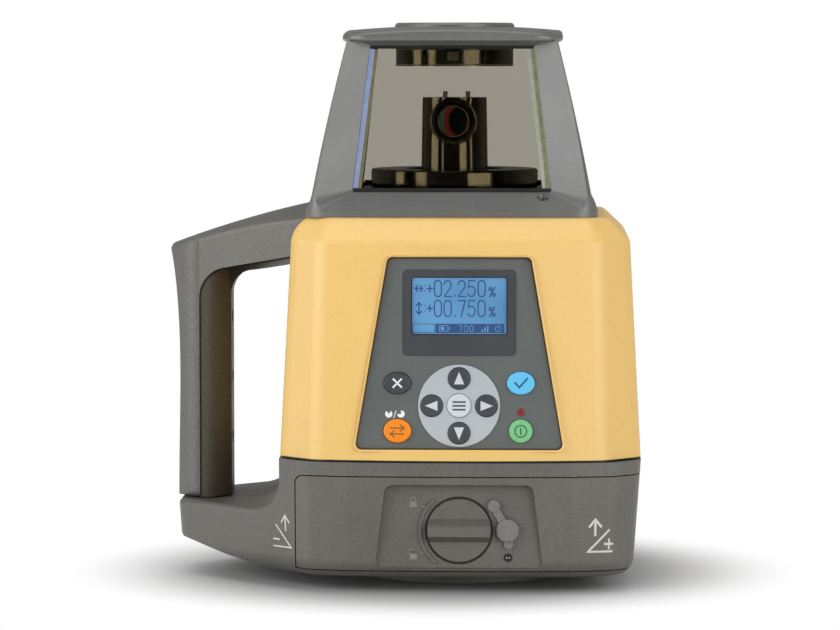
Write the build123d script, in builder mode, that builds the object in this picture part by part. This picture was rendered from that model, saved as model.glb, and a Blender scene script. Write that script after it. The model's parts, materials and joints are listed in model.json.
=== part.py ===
"""Rotary laser level: case and base, carry handle, glazed beacon, tilting laser and battery box.

Millimetres. The origin is on the tripod thread's axis in the resting face. +Z is up, the front faces -Y
and the handle is on -X.
"""

import os
from math import atan2, cos, degrees, hypot, radians, sin, tan

from build123d import *

os.makedirs("parts", exist_ok=True)

# Fits
gap = 0.5  # between the battery box and its bay
play = 0.2  # round a key or another small loose piece
run = 0.05  # radial clearance of a shaft or pin that turns
seat = 0.1  # radial clearance of a piece that is only put in place

# Case, at the split line
wall = 3.0
case_half = 80.8
case_front = 88.0
case_rear = 86.0
case_h = 106.5  # from the split line to the deck
bow = 5.6  # how far the middle of the front and rear stands out
facet_w = 16.6
facet_deg = 44.0
corner_r = 11.8
roof_bevel = 9.8
roof_soft = 1.6  # how much further the rounded ends of the bevel reach
roof_corner_share = 0.8  # of the step in, which the corners lose of their round
base_corner_r = 12.0
flank_half = 50.0  # where the base's front folds back
flank_drop = 1.6
base_facet_w = 11.4
split_z = 60.0
seal_h = 1.0
seal_inset = 0.9
seal_w = 1.5
upper_draft = 3.0
base_draft = 4.0
bow_half = case_half - facet_w
deck_z = split_z + case_h
base_top = split_z - seal_h
draft_tan = tan(radians(upper_draft))
roof_h = roof_bevel + roof_soft
roof_left_r = roof_h + roof_soft / 2  # round of the roof's edge on the handle's side
roof_steps = [  # up from the foot of the roof's edge, and in from the wall
    (roof_soft, roof_soft / 4),
    *[(roof_soft + share * roof_bevel, share * roof_bevel) for share in (0.2, 0.5, 0.8)],
    (roof_h - roof_soft / 4, roof_h - roof_soft),
    (roof_h, roof_h - roof_soft / 4),
]

# Tripod plate and thread
plate_r = 53.5
plate_h = 7.0
plate_edge_r = 1.5
thread_r = 6.75  # drilled radius of a 5/8-11 thread
thread_depth = 14.0
insert_wall = 3.75
insert_roof = 2.0
insert_flange_w = 4.5
insert_flange_h = 2.5
boss_wall = 2.5
boss_roof = 4.0
insert_r = thread_r + insert_wall
insert_h = thread_depth + insert_roof
insert_flange_r = insert_r + insert_flange_w
boss_r = insert_r + boss_wall
boss_h = insert_h + boss_roof

# Base arm under the handle
arm_reach = 51.6
arm_tip_half = 20.0
arm_tip_t = 16.3
arm_drop = 25.0
arm_fillet = 14.0
arm_edge_r = 2.5
arm_clip = (4.0, 4.6)  # off the lower corner of the tip, along and up
arm_underside = [(26.0, 4.8), (6.0, 0.9), (-18.0, 0.0)]  # reach past the case side, rise above the plate
base_edge_r = 9.0
arm_tip_x = -case_half - arm_reach
arm_top_z = split_z - arm_drop
arm_tip_z = arm_top_z - arm_tip_t

# Battery box
bay_roof = 6.0
bay_side = 7.4
box_wall = 2.4
recess_sink = 5.4
recess_head = 4.7
recess_foot = 2.0
recess_half_top = 32.0
recess_half_bottom = 37.0
recess_draft = 12.0
box_skin = 3.8  # behind the recess
box_corner_r = 4.0
cell_r = 13.0
cell_length = 50.0
cell_pitch = 27.0
cell_setback = 8.8
cell_count = 4
contact_t = 0.8
bay_left = bay_side - case_half
bay_rear = -boss_r
bay_top = base_top - bay_roof
bay_floor = plate_h + wall
recess_y = recess_sink - case_front
recess_top = bay_top - recess_head
recess_bottom = bay_floor + recess_foot
box_floor = bay_floor + gap + box_wall
box_inner_front = recess_y + box_skin
box_inner_rear = bay_rear - gap - box_wall
cell_front = box_inner_front + cell_setback
cell_z = box_floor + cell_r

# Screws that join the two case halves
case_screw_side = 17.4
case_screw_back = 25.0
case_screw_r = 2.0
case_screw_head_r = 3.5
case_screw_head_h = 3.0
case_screw_length = 16.0
case_boss_r = 6.0
case_boss_h = 15.0
case_screw_x = case_half - case_screw_side
case_screw_y = case_rear - case_screw_back
case_screw_seat_z = bay_top + case_screw_head_h + play
case_screw_places = [(sx * case_screw_x, sy * case_screw_y) for sx in (-1, 1) for sy in (-1, 1)]

# Lock dial, jack and its cap
dial_rise = 18.6
dial_r = 14.2
dial_ring = 0.6
dial_sink = 2.0
dial_proud = 0.8
bar_inset = 0.6
bar_foot = 10.3
bar_face = 4.6
bar_h = 4.6
dial_shaft_r = 3.0
cam_t = 2.8
cam_gap = 1.0
cam_w = 7.0
ridge_gap = 3.3
ridge_w = 1.2
ridge_h = 0.9
jack_x = 21.5
jack_rise = 0.1
jack_wall = 0.6
jack_hole_r = 3.6
jack_length = 8.0
cap_lap = 0.9
cap_t = 2.2
cap_gap = 0.3
plug_r = 2.6
plug_h = 1.8
anchor_in = 6.1
anchor_rise = 11.0
anchor_r = 2.7
anchor_t = 1.6
strap_w = 3.4
tab_r = 2.0
tab_x = 0.5
dial_z = bay_floor + dial_rise
dial_back = recess_y + dial_sink - play
dial_face = recess_y - dial_proud
bar_length = 2 * (dial_r - bar_inset)
cam_front = box_inner_front + gap
cam_reach = bay_top - cam_gap - dial_z
ridge_r = dial_r + ridge_gap
jack_z = dial_z + jack_rise
jack_r = jack_hole_r + jack_wall
cap_r = jack_r + cap_lap
cap_back = recess_y - cap_gap
anchor_x = jack_x - anchor_in
anchor_z = jack_z + anchor_rise

# Handle, by its reach from the side of the case and its heights from the deck
handle_root = 11.0
handle_neck = 5.5  # under the lip of the beacon
handle_gap = 0.6
handle_wall = 2.8
handle_half = 19.5  # half the depth of the grip, at its parting line
parting_reach = 40.0
grip_reach = 26.2
grip_screw_count = 3
grip_screw_low = 26.4
grip_screw_pitch = 28.0
handle_tip_r = 3.5
handle_edge_r = 3.0
parting_gap = 0.9
parting_tongue = 1.4  # how far in from the skin the two shells touch
parting_r = 14.0
grip_r = 12.0
beam_crown_r = 200.0  # across the top of the beam
grip_screw_r = 1.6
grip_head_r = 3.0
grip_head_h = 2.2
grip_head_sink = 1.2
grip_boss_wall = 2.0
grip_boss_gap = 0.4
grip_boss_h = 9.8  # of the boss that each screw bites in
grip_pilot = 6.8
grip_bite = 4.5
handle_root_x = handle_root - case_half
handle_foot_z = arm_top_z + handle_gap
parting_x = -case_half - parting_reach
grip_x = -case_half - grip_reach
handle_top = [
    (handle_root_x, deck_z + 4.6),
    (-case_half - 20.2, deck_z - 3.4),
    (-case_half - 54.6, deck_z - 15.0),
]
handle_outside = [handle_top[-1], (-case_half - 51.0, deck_z - 38.5), (-case_half - 50.4, handle_foot_z)]
parting_edge = [(parting_x, handle_foot_z), (parting_x, deck_z - 27.1), (handle_root_x, deck_z - 17.2)]
grip_edge = [(grip_x, handle_foot_z), (grip_x, deck_z - 28.1), (handle_root_x, deck_z - 20.9)]
shell_halves = [
    (-case_half - 59.0, 3.5),
    (-case_half - 54.6, 6.8),
    (-case_half - 50.4, 11.4),
    (-case_half - 46.0, 16.7),
    (parting_x, handle_half),
]
grip_halves = [
    (parting_x, handle_half),
    (parting_x + 5.6, 18.0),
    (parting_x + 10.2, 13.4),
    (grip_x + 1.0, 5.5),
]
beam_halves = [
    (parting_x, handle_half),
    (-case_half - 20.2, 28.0),
    (-case_half + 12.0, 45.0),
    (-case_half + 39.4, 62.0),
]
rib_halves = [
    (grip_x - 4.0, 5.0),
    (grip_x + 3.0, 9.0),
    (-case_half - 13.0, 23.5),
    (-case_half + 12.0, 43.0),
    (-case_half + 39.4, 60.0),
]
grip_screw_zs = [handle_foot_z + grip_screw_low + i * grip_screw_pitch for i in range(grip_screw_count)]

# Control panel, in its own plane: x to the right, v up the slope, w out of the face
panel_sink = 3.6
panel_rise = 47.2
panel_half_top = 32.2
panel_half_bottom = 46.8
panel_half_h = 43.1
panel_corner_r = 3.0
panel_t = 2.4
panel_ledge = 1.6
panel_seat_t = 3.0
panel_pad = 4.0
standoff_r = 2.2
standoff_foot = (9.8, 6.6)  # in from the lower corners
standoff_head = (4.7, 5.6)  # in from the upper corners
board_t = 1.6
board_w = -7.4
ring_v = -23.1
ring_r = 18.15
ring_sink = 0.4
ring_proud = 0.5
arrow_pitch = 12.1
arrow_r = 4.9
menu_r = 5.3
side_key_x = 27.3
upper_key_v = -13.1
lower_key_v = -34.3
key_proud = 1.3
key_edge_r = 0.85
key_flange = 0.8
key_flange_t = 1.0
key_back = -3.0
display_half = 24.8
display_low = -0.9
display_high = 36.9
display_sink = 0.6
display_proud = 0.5
display_corner_r = 2.0
screen_side = 3.5
screen_foot = 9.1
screen_head = 3.0
module_lap = 1.5
lamp_v = -26.0
lamp_r = 1.6
panel_mid_z = split_z + panel_rise
panel_y = -case_front + panel_sink + panel_rise * draft_tan
panel_plane = Plane(
    origin=(0, panel_y, panel_mid_z),
    x_dir=(1, 0, 0),
    z_dir=(0, -cos(radians(upper_draft)), sin(radians(upper_draft))),
)
foot_x, head_x = panel_half_bottom - standoff_foot[0], panel_half_top - standoff_head[0]
foot_v, head_v = standoff_foot[1] - panel_half_h, panel_half_h - standoff_head[1]
standoff_places = [(-foot_x, foot_v), (foot_x, foot_v), (-head_x, head_v), (head_x, head_v)]
screen_half = display_half - screen_side
screen_low = display_low + screen_foot
screen_high = display_high - screen_head
display_h = display_high - display_low
screen_h = screen_high - screen_low
display_mid = (display_low + display_high) / 2
screen_mid = (screen_low + screen_high) / 2
lamp_x = side_key_x
keys = {
    "key_up": (0, ring_v + arrow_pitch, arrow_r, arrow_r),
    "key_down": (0, ring_v - arrow_pitch, arrow_r, arrow_r),
    "key_left": (-arrow_pitch, ring_v, arrow_r, arrow_r),
    "key_right": (arrow_pitch, ring_v, arrow_r, arrow_r),
    "key_menu": (0, ring_v, menu_r, menu_r),
    "key_escape": (-side_key_x, upper_key_v, 5.95, 4.85),
    "key_enter": (side_key_x, upper_key_v, 6.2, 5.15),
    "key_axis": (-side_key_x, lower_key_v, 6.2, 5.3),
    "key_power": (side_key_x, lower_key_v, 5.25, 5.25),
}

# Tilting laser, by its distance from the pivot
pivot_drop = 28.5
bearing_r = 14.0
bearing_t = 5.0
housing_wall = 5.0
housing_sink = 16.0
housing_rise = 9.0
gimbal_gap = 6.0
gimbal_w = 9.0
gimbal_h = 8.0
pin_r = 3.0
pin_bed = 1.0
upright_gap = 6.0
upright_t = 4.0
upright_w = 16.0
chassis_gap = 0.8
chassis_t = 3.0
chassis_half = 52.0
chassis_rear = 72.0
main_board_half = 45.0
leg_r = 4.0
leg_x = 40.0
leg_front = -38.0
leg_rear = 52.0
barrel_wall = 5.0
barrel_bore = 10.0
barrel_drop = 54.0
flange_t = 2.5
pad_overhang = 14.0
pad_r = 4.0
pad_t = 4.0
tip_gap = 0.6
stepper_r = 8.0
stepper_h = 14.0
stepper_floor = 1.0
plunger_r = 2.5
plunger_rise = 4.2
module_inset = 1.0
module_h = 14.0
lens_rise = 16.0
lens_t = 3.0
spindle_sink = 12.0
pivot_z = deck_z - pivot_drop
housing_r = bearing_r + housing_wall
housing_low = pivot_z - housing_sink
housing_top = pivot_z + housing_rise
flange_top = housing_top + flange_t
gimbal_in = housing_r + gimbal_gap
gimbal_out = gimbal_in + gimbal_w
upright_in = gimbal_out + upright_gap
pin_end = upright_in + upright_t
chassis_z = split_z + chassis_gap
chassis_top = chassis_z + chassis_t
barrel_r = barrel_bore + barrel_wall
barrel_low = pivot_z - barrel_drop
pad_reach = barrel_r + pad_overhang
tip_z = barrel_low - tip_gap
plunger_low = chassis_top + plunger_rise
module_r = barrel_bore - module_inset
module_low = barrel_low - module_h
lens_z = barrel_low + lens_rise
spindle_low = pivot_z - spindle_sink

# Rotor and its drive
spindle_r = 8.0
spindle_wall = 3.0
spindle_flange_h = 4.0
spindle_flange_in = 2.0
spindle_lift = 0.5
pulley_gap = 3.5
pulley_h = 5.0
pulley_r = 20.0
small_pulley_r = 7.0
pulley_space = 23.0
belt_t = 1.2
belt_h = 3.0
belt_run = 0.05
motor_r = 11.0
motor_h = 22.0
motor_shaft_r = 1.5
turret_lift = 5.5
turret_h = 47.2
turret_r = 15.6
turret_lean = 0.8
beam_drop = 10.7
snout_r = 10.8
snout_y = 17.0
lens_ring_t = 3.6
lens_ring_r = 0.8
lens_r = 6.6
exit_lens_t = 2.6
prism_leg = 8.0
prism_half = 4.5
stud_xs = (-4.3, 6.1)
stud_r = 1.1
stud_h = 2.8
spindle_bore = spindle_r - spindle_wall
pulley_low = housing_top + pulley_gap
groove_low = pulley_low + (pulley_h - belt_h) / 2 - play
groove_high = groove_low + belt_h + 2 * play
motor_y = pulley_r + small_pulley_r + pulley_space
turret_low = deck_z + turret_lift
turret_top = turret_low + turret_h
turret_taper = degrees(atan2(turret_lean, turret_h))
beam_z = turret_top - beam_drop
prism_low = beam_z - prism_leg / 2
prism_far = prism_leg * 2**0.5
ring_front = snout_y + lens_ring_t

# Beacon, as high as the turret needs
beacon_x = -4.0
lip_half = 65.5
lip_h = 2.8
lip_r = 10.0
cage_inset = 0.4
cage_lean = 15.5
cage_belly = 0.9  # how far the middle of a post stands out of the straight line
cage_r = 8.0
glass_t = 3.0
glass_sink = 11.5
sill_corner_r = 8.0
sill_edge_r = 1.5
glass_lean = 11.5
glass_rise = 11.0
glass_head = 1.8
glass_half_foot = 44.7
glass_half_head = 37.1
reveal = 14.0
reveal_foot = 28.3
reveal_head = 26.0
sill_drop = 12.8
rail_rise = 7.6
cap_lip = 0.1
cap_corner_r = 13.0
cap_h = 5.2
cap_crown = 2.3
cap_rim_r = 1.4
cap_edge_r = 2.0
disc_r = 27.5
disc_h = 3.5
disc_bed = 1.0
disc_edge = 1.0
hub_r = 27.0
hub_gap = 11.6
hub_h = 9.2
hub_neck = 2.0
hub_neck_r = 21.6
bracket_w = 7.2
bracket_t = 2.4
bracket_h = 5.8
floor_gap = 0.7
floor_t = 2.5
drum_r = 38.4
drum_h = 20.0
drum_wall = 2.4
drum_edge_r = 1.2
drum_swing = 6.9  # round the turret, for its tilt
skirt_w = 4.1
skirt_rise = 8.5
skirt_h = 2.8
screw_r = 1.6
screw_head_r = 2.7
screw_head_h = 2.2
screw_length = 13.0
sill_screw_in = 3.8
sill_screw_back = 8.5
sill_screw_rise = 3.1
cap_screw_in = 7.6
cap_screw_rise = 1.2
lip_top = deck_z + lip_h
hub_low = turret_top + stud_h + hub_gap
hub_high = hub_low + hub_h
cage_top = hub_high + hub_neck
cage_foot = lip_half - cage_inset
cage_head = cage_foot - cage_lean
cage_halves = (
    (lip_top, cage_foot),
    ((lip_top + cage_top) / 2, (cage_foot + cage_head) / 2 + cage_belly),
    (cage_top, cage_head),
)
glass_foot = lip_half - glass_sink  # from the beacon's axis to the outer face of the glass
glass_top = glass_foot - glass_lean
glass_foot_z = deck_z + glass_rise
glass_head_z = cage_top - glass_head
cap_half = cage_head + cap_lip
cap_edge_z = cage_top + cap_h
crown_z = cap_edge_z + cap_crown
crown_r = (cap_half**2 + cap_crown**2) / (2 * cap_crown)
disc_z = cap_edge_z + disc_h
floor_half = glass_foot - glass_t - floor_gap
drum_z = deck_z + drum_h
drum_hole_r = turret_r + drum_swing
deck_hole_r = drum_r - drum_wall
skirt_r = drum_r + skirt_w
skirt_low = deck_z + skirt_rise
sill_screw_x = glass_half_foot - sill_screw_in
sill_screw_y = sill_screw_back - lip_half
sill_head_z = lip_top + sill_screw_rise
cap_screw_half = cage_head - cap_screw_in
cap_head_z = cage_top + cap_screw_rise
sill_screw_places = [
    (
        beacon_x + sill_screw_x * cos(turn) - sill_screw_y * sin(turn),
        sill_screw_x * sin(turn) + sill_screw_y * cos(turn),
    )
    for turn in (radians(90 * i) for i in range(4))
]


def body_plan(left_side, facet, front_half, front_drop, round_r, inset):
    """Plan at the split line, drawn inset from the skin.

    The left side has the two points given. The front bows out between the points at front_half and folds
    back from there.
    """
    flat_half = case_half - facet
    facet_depth = facet * tan(radians(facet_deg))
    front_y = case_front - bow
    rear_y = case_rear - bow
    fold_y = case_front - front_drop
    with BuildSketch() as plan:
        with BuildLine():
            ThreePointArc((-front_half, -fold_y), (0, -case_front), (front_half, -fold_y))
            if front_half < flat_half:
                Line((-flat_half, -front_y), (-front_half, -fold_y))
                Line((front_half, -fold_y), (flat_half, -front_y))
            Polyline(
                (flat_half, -front_y),
                (case_half, facet_depth - front_y),
                (case_half, rear_y - facet_depth),
                (flat_half, rear_y),
            )
            ThreePointArc((flat_half, rear_y), (0, case_rear), (-flat_half, rear_y))
            Polyline((-flat_half, rear_y), *left_side, (-flat_half, -front_y))
        make_face()
        if round_r:
            corners = plan.vertices().filter_by(lambda corner: abs(corner.X) > flat_half - play)
            fillet(corners, round_r)
        if inset:
            offset(amount=-inset, mode=Mode.REPLACE)
    return plan.sketch


def case_plan(inset, round_r, left_out=0):
    """Plan of the upper case, with its left side moved out by left_out."""
    facet_depth = facet_w * tan(radians(facet_deg))
    left_x = -case_half - left_out
    left_side = ((left_x, case_rear - bow - facet_depth), (left_x, facet_depth - case_front + bow))
    return body_plan(left_side, facet_w, bow_half, bow, round_r, inset)


def base_plan(inset):
    """Plan of the base, which runs out to the arm under the handle."""
    left_side = ((arm_tip_x, arm_tip_half), (arm_tip_x, -arm_tip_half))
    return body_plan(left_side, base_facet_w, flank_half, flank_drop, base_corner_r, inset)


def upper_walls(inset, top_z):
    """Drafted walls of the upper case up to a height, drawn inset from their skin."""
    with BuildPart() as walls:
        with BuildSketch(Plane.XY.offset(split_z)):
            add(case_plan(inset, 0))
        extrude(amount=top_z - split_z, taper=upper_draft)
        uprights = walls.edges().filter_by(lambda edge: edge.bounding_box().size.Z > case_h / 2)
        fillet(uprights, corner_r - inset)
    return walls.part


def roof_section(rise, step):
    """Plan of the roof's edge at a height above its foot, where the left side follows a circle."""
    z = deck_z - roof_h + rise
    left_step = roof_left_r - (roof_left_r**2 - rise**2) ** 0.5
    with BuildSketch(Plane.XY.offset(z)) as section:
        add(case_plan(step + draft_tan * (z - split_z), 0, step - left_step))
        fillet(section.vertices(), corner_r - roof_corner_share * step)
    return section.sketch.face()


def upper_block():
    """Solid of the upper case: its roof has a bevel on three sides, and is round at the left."""
    walls = upper_walls(0, deck_z - roof_h)
    with BuildPart() as block:
        add(walls)
        loft([walls.faces().sort_by(Axis.Z)[-1], *[roof_section(rise, step) for rise, step in roof_steps]])
    return block.part


def upper_hollow():
    """Space inside the upper case.

    An even wall under a bevel at 45 degrees takes 2 - sqrt(2) of the wall off the bevel's width.
    """
    with BuildPart() as hollow:
        add(upper_walls(wall, deck_z - wall))
        chamfer(hollow.edges().group_by(Axis.Z)[-1], roof_bevel - wall * (2 - 2**0.5))
    return hollow.part


def base_block(inset, floor_z):
    """Solid of the base with its arm, drawn inset from its skin."""
    with BuildPart() as side:
        with BuildSketch(Plane.XZ) as outline:
            with BuildLine():
                Polyline(
                    (case_half + wall, base_top + wall),
                    (-case_half, base_top + wall),
                    (-case_half, arm_top_z),
                    (arm_tip_x - wall, arm_top_z),
                    (arm_tip_x - wall, arm_tip_z + arm_clip[1]),
                    (arm_tip_x, arm_tip_z + arm_clip[1]),
                    (arm_tip_x + arm_clip[0], arm_tip_z - 1),
                    *[(-case_half - reach, plate_h + rise) for reach, rise in arm_underside],
                    (case_half + wall, plate_h),
                    close=True,
                )
            make_face()
            fillet(outline.vertices().sort_by_distance((-case_half, arm_top_z))[0], arm_fillet)
            if inset:
                offset(amount=-inset, mode=Mode.REPLACE)
        extrude(amount=2 * case_front, both=True)
    with BuildPart() as block:
        with BuildSketch(Plane.XY.offset(base_top)):
            add(base_plan(inset))
        extrude(amount=base_top - floor_z, dir=(0, 0, -1), taper=base_draft)
        fillet(block.edges().group_by(Axis.Z)[0], base_edge_r - inset)
        add(side.part, mode=Mode.INTERSECT)
        if not inset:
            fillet(block.edges().filter_by(arm_edge), arm_edge_r)
    return block.part


def arm_edge(edge):
    """True for the edges round the top of the arm."""
    box = edge.bounding_box()
    on_arm = box.max.X < -case_half + play and box.min.Z > arm_top_z - play
    return on_arm and box.max.Z < arm_top_z + arm_fillet + play and box.size.Y > play


def slab(x0, x1, y0, y1, z0, z1):
    """Plain block between two corners."""
    with BuildPart() as block:
        with Locations(((x0 + x1) / 2, (y0 + y1) / 2, (z0 + z1) / 2)):
            Box(x1 - x0, y1 - y0, z1 - z0)
    return block.part


def panel_outline(grow):
    """Trapezoid of the control panel in its own plane, grown by a margin."""
    with BuildSketch() as face:
        with BuildLine():
            Polyline(
                (-panel_half_bottom, -panel_half_h),
                (panel_half_bottom, -panel_half_h),
                (panel_half_top, panel_half_h),
                (-panel_half_top, panel_half_h),
                close=True,
            )
        make_face()
        fillet(face.vertices(), panel_corner_r)
        if grow:
            offset(amount=grow, mode=Mode.REPLACE)
    return face.sketch


def handle_side(inner_edge, fillet_r, inset):
    """Side view of the handle, from its outer edge to the given inner edge, drawn inset from its skin."""
    tip = (handle_top[-1][0] + inset, handle_top[-1][1] - inset)
    root = (handle_root_x - inset, handle_top[0][1] - inset)
    top = [root, (handle_top[1][0], handle_top[1][1] - inset), tip]
    outside = [tip, (handle_outside[1][0] + inset, handle_outside[1][1])]
    outside.append((handle_outside[2][0] + inset, handle_foot_z + inset))
    inside = [(x - inset, z + inset) for x, z in inner_edge]
    with BuildSketch() as face:
        with BuildLine():
            Spline(*top)
            Spline(*outside, tangents=[(0.25, -1), (0, -1)])
            Polyline(outside[-1], *inside, top[0])
        make_face()
        fillet(face.vertices().sort_by_distance(inside[1])[0], fillet_r + inset)
        fillet(face.vertices().sort_by_distance(tip)[0], handle_tip_r - inset)
    return face.sketch


def handle_plan(halves, inset):
    """Plan of one length of the handle from its half depths along X, drawn inset from its skin."""
    near = [(x, y - inset) for x, y in halves]
    far = [(x, -y) for x, y in reversed(near)]
    with BuildSketch() as face:
        with BuildLine():
            Spline(*near)
            Line(near[-1], far[0])
            Spline(*far)
            Line(far[-1], near[0])
        make_face()
    return face.sketch


def beam_crown():
    """All that lies under the top of the handle, which falls to the front and to the rear."""
    axis_z = deck_z - beam_crown_r
    tip_x, tip_z = handle_top[-1]
    with BuildPart() as crown:
        with BuildSketch(Plane.XZ):
            with BuildLine():
                Spline(*handle_top)
                Polyline(
                    (tip_x, tip_z),
                    (tip_x - case_half, tip_z - case_half / 3),
                    (tip_x - case_half, axis_z),
                    (handle_root_x, axis_z),
                    handle_top[0],
                )
            make_face()
        revolve(axis=Axis((0, 0, axis_z), (1, 0, 0)), revolution_arc=30)
        mirror(about=Plane.XZ)
    return crown.part


def upper_shell():
    """Handle outside its parting line: an oval column that widens along the beam."""
    with BuildPart() as depth:
        with BuildSketch():
            add(handle_plan(shell_halves, 0))
            add(handle_plan(beam_halves, 0))
        extrude(amount=2 * deck_z)
    with BuildPart() as shell:
        with BuildSketch(Plane.XZ):
            add(handle_side(parting_edge, parting_r, 0))
        extrude(amount=case_front, both=True)
        add(depth.part, mode=Mode.INTERSECT)
        add(beam_crown(), mode=Mode.INTERSECT)
    return shell.part


def lower_shell(outer_edge, fillet_r, inset):
    """Handle between an outer edge and the grip's edge, drawn inset from its skin.

    It is half an oval down the grip and a rib under the beam, which widens towards the case.
    """
    with BuildPart() as depth:
        with BuildSketch():
            add(handle_plan(grip_halves, inset))
            add(handle_plan(rib_halves, inset))
        extrude(amount=2 * deck_z)
    with BuildPart() as shell:
        with BuildSketch(Plane.XZ):
            add(handle_side(grip_edge, grip_r, 0))
            add(handle_side(outer_edge, fillet_r, 0), mode=Mode.SUBTRACT)
        extrude(amount=case_front, both=True)
        add(depth.part, mode=Mode.INTERSECT)
    return shell.part


def beam_neck(inset):
    """Neck at the root of the beam, under the beacon's lip, drawn inset from its skin."""
    low_z = parting_edge[-1][1] + inset
    with BuildPart() as neck:
        with BuildSketch(Plane.XY.offset(low_z)):
            add(handle_plan(beam_halves, inset))
        extrude(amount=deck_z - inset - low_z)
        near, far = handle_root_x - inset, handle_root_x + handle_neck - inset
        add(slab(near, far, -case_front, case_front, 0, 2 * deck_z), mode=Mode.INTERSECT)
    return neck.part


def outside_edge(edge):
    """True for the long edges round the outside of the handle."""
    point = edge.center()
    box = edge.bounding_box()
    return (
        abs(point.Y) > box.size.Y
        and box.size.X + box.size.Z > handle_tip_r
        and point.X < handle_root_x - play
        and (point.X < parting_x - grip_head_h or point.Z > parting_edge[-1][1])
    )


# Handle: two shells that meet on the parting line, with one hollow through both
with BuildPart() as handle_hollow:
    with BuildSketch():
        with BuildLine():
            half = [(x, y - handle_wall) for x, y in shell_halves[1:] + grip_halves[1:]]
            Polyline(*half, *[(x, -y) for x, y in reversed(half)], close=True)
        make_face()
    extrude(amount=2 * deck_z)
    with BuildSketch(Plane.XY.offset(grip_edge[1][1] + handle_wall)):
        with BuildLine():
            half = [(x, y - handle_wall) for x, y in rib_halves]
            Polyline(*half, *[(x, -y) for x, y in reversed(half)], close=True)
        make_face()
    extrude(amount=deck_z)
    with BuildSketch(Plane.XZ):
        add(handle_side(grip_edge, grip_r, handle_wall))
    extrude(amount=case_front, both=True, mode=Mode.INTERSECT)
    add(Pos(0, 0, -handle_wall) * beam_crown(), mode=Mode.INTERSECT)
    add(beam_neck(handle_wall))

with BuildPart() as outer_skin:
    add(upper_shell())
    fillet(outer_skin.edges().filter_by(outside_edge), handle_edge_r)
    add(beam_neck(0))

with BuildPart() as inner_skin:
    groove_edge = [(x + parting_gap, z - parting_gap) for x, z in parting_edge]
    add(lower_shell(groove_edge, parting_r - parting_gap, 0))
    add(lower_shell(parting_edge, parting_r, parting_tongue))

with BuildPart() as handle_outer_shell:
    add(outer_skin.part)
    add(handle_hollow.part, mode=Mode.SUBTRACT)
    for z in grip_screw_zs:
        with BuildSketch(Plane.YZ.offset(parting_x)):
            with Locations((0, z)):
                Circle(grip_screw_r + handle_wall)
        extrude(amount=-grip_boss_h)
    for z in grip_screw_zs:
        with BuildSketch(Plane.YZ.offset(parting_x)):
            with Locations((0, z)):
                Circle(grip_screw_r)
        extrude(amount=-grip_pilot, mode=Mode.SUBTRACT)
handle_outer_shell.part.label = "handle_outer_shell"
export_step(handle_outer_shell.part, "parts/handle_outer_shell.step")

with BuildPart() as handle_inner_grip:
    add(inner_skin.part)
    add(handle_hollow.part, mode=Mode.SUBTRACT)
    for z in grip_screw_zs:
        with BuildSketch(Plane.YZ.offset(parting_x)):
            with Locations((0, z)):
                Circle(grip_head_r + grip_boss_wall)
        extrude(amount=grip_x - parting_x - grip_boss_gap)
    for z in grip_screw_zs:
        with BuildSketch(Plane.YZ.offset(grip_x + 1)):
            with Locations((0, z)):
                Circle(grip_head_r + seat)
        extrude(amount=-(1 + grip_head_sink + grip_head_h), mode=Mode.SUBTRACT)
        with BuildSketch(Plane.YZ.offset(grip_x)):
            with Locations((0, z)):
                Circle(grip_screw_r + seat)
        extrude(amount=parting_x - grip_x, mode=Mode.SUBTRACT)
handle_inner_grip.part.label = "handle_inner_grip"
export_step(handle_inner_grip.part, "parts/handle_inner_grip.step")

with BuildPart() as handle_screws:
    for z in grip_screw_zs:
        with BuildSketch(Plane.YZ.offset(grip_x - grip_head_sink)):
            with Locations((0, z)):
                Circle(grip_head_r)
        extrude(amount=-grip_head_h)
        with BuildSketch(Plane.YZ.offset(grip_x - grip_head_sink)):
            with Locations((0, z)):
                Circle(grip_screw_r)
        extrude(amount=parting_x - grip_x - grip_bite)
handle_screws.part.label = "handle_screws"
export_step(handle_screws.part, "parts/handle_screws.step")

# Upper case: drafted shell, thick seat behind the panel, bosses for the screws
upper_skin = upper_block()

with BuildPart() as panel_seat:
    with BuildSketch(panel_plane.offset(-panel_t - panel_seat_t)):
        add(panel_outline(panel_pad))
    extrude(amount=panel_t + panel_seat_t + panel_sink + wall)
    add(upper_skin, mode=Mode.INTERSECT)

with BuildPart() as upper_bosses:
    for x, y in case_screw_places:
        outward = degrees(atan2(y, x))
        with BuildSketch(Plane.XY.offset(split_z)):
            with Locations((x, y)):
                Circle(case_boss_r)
            with Locations(Location((x, y), outward)):
                Rectangle(4 * case_boss_r, case_boss_r, align=(Align.MIN, Align.CENTER))
        extrude(amount=case_boss_h)
    with BuildSketch(Plane.XY.offset(deck_z)):
        with Locations(*sill_screw_places):
            Circle(screw_r + wall)
    extrude(amount=-(wall + screw_length * 0.6))
    add(upper_skin, mode=Mode.INTERSECT)

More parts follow.
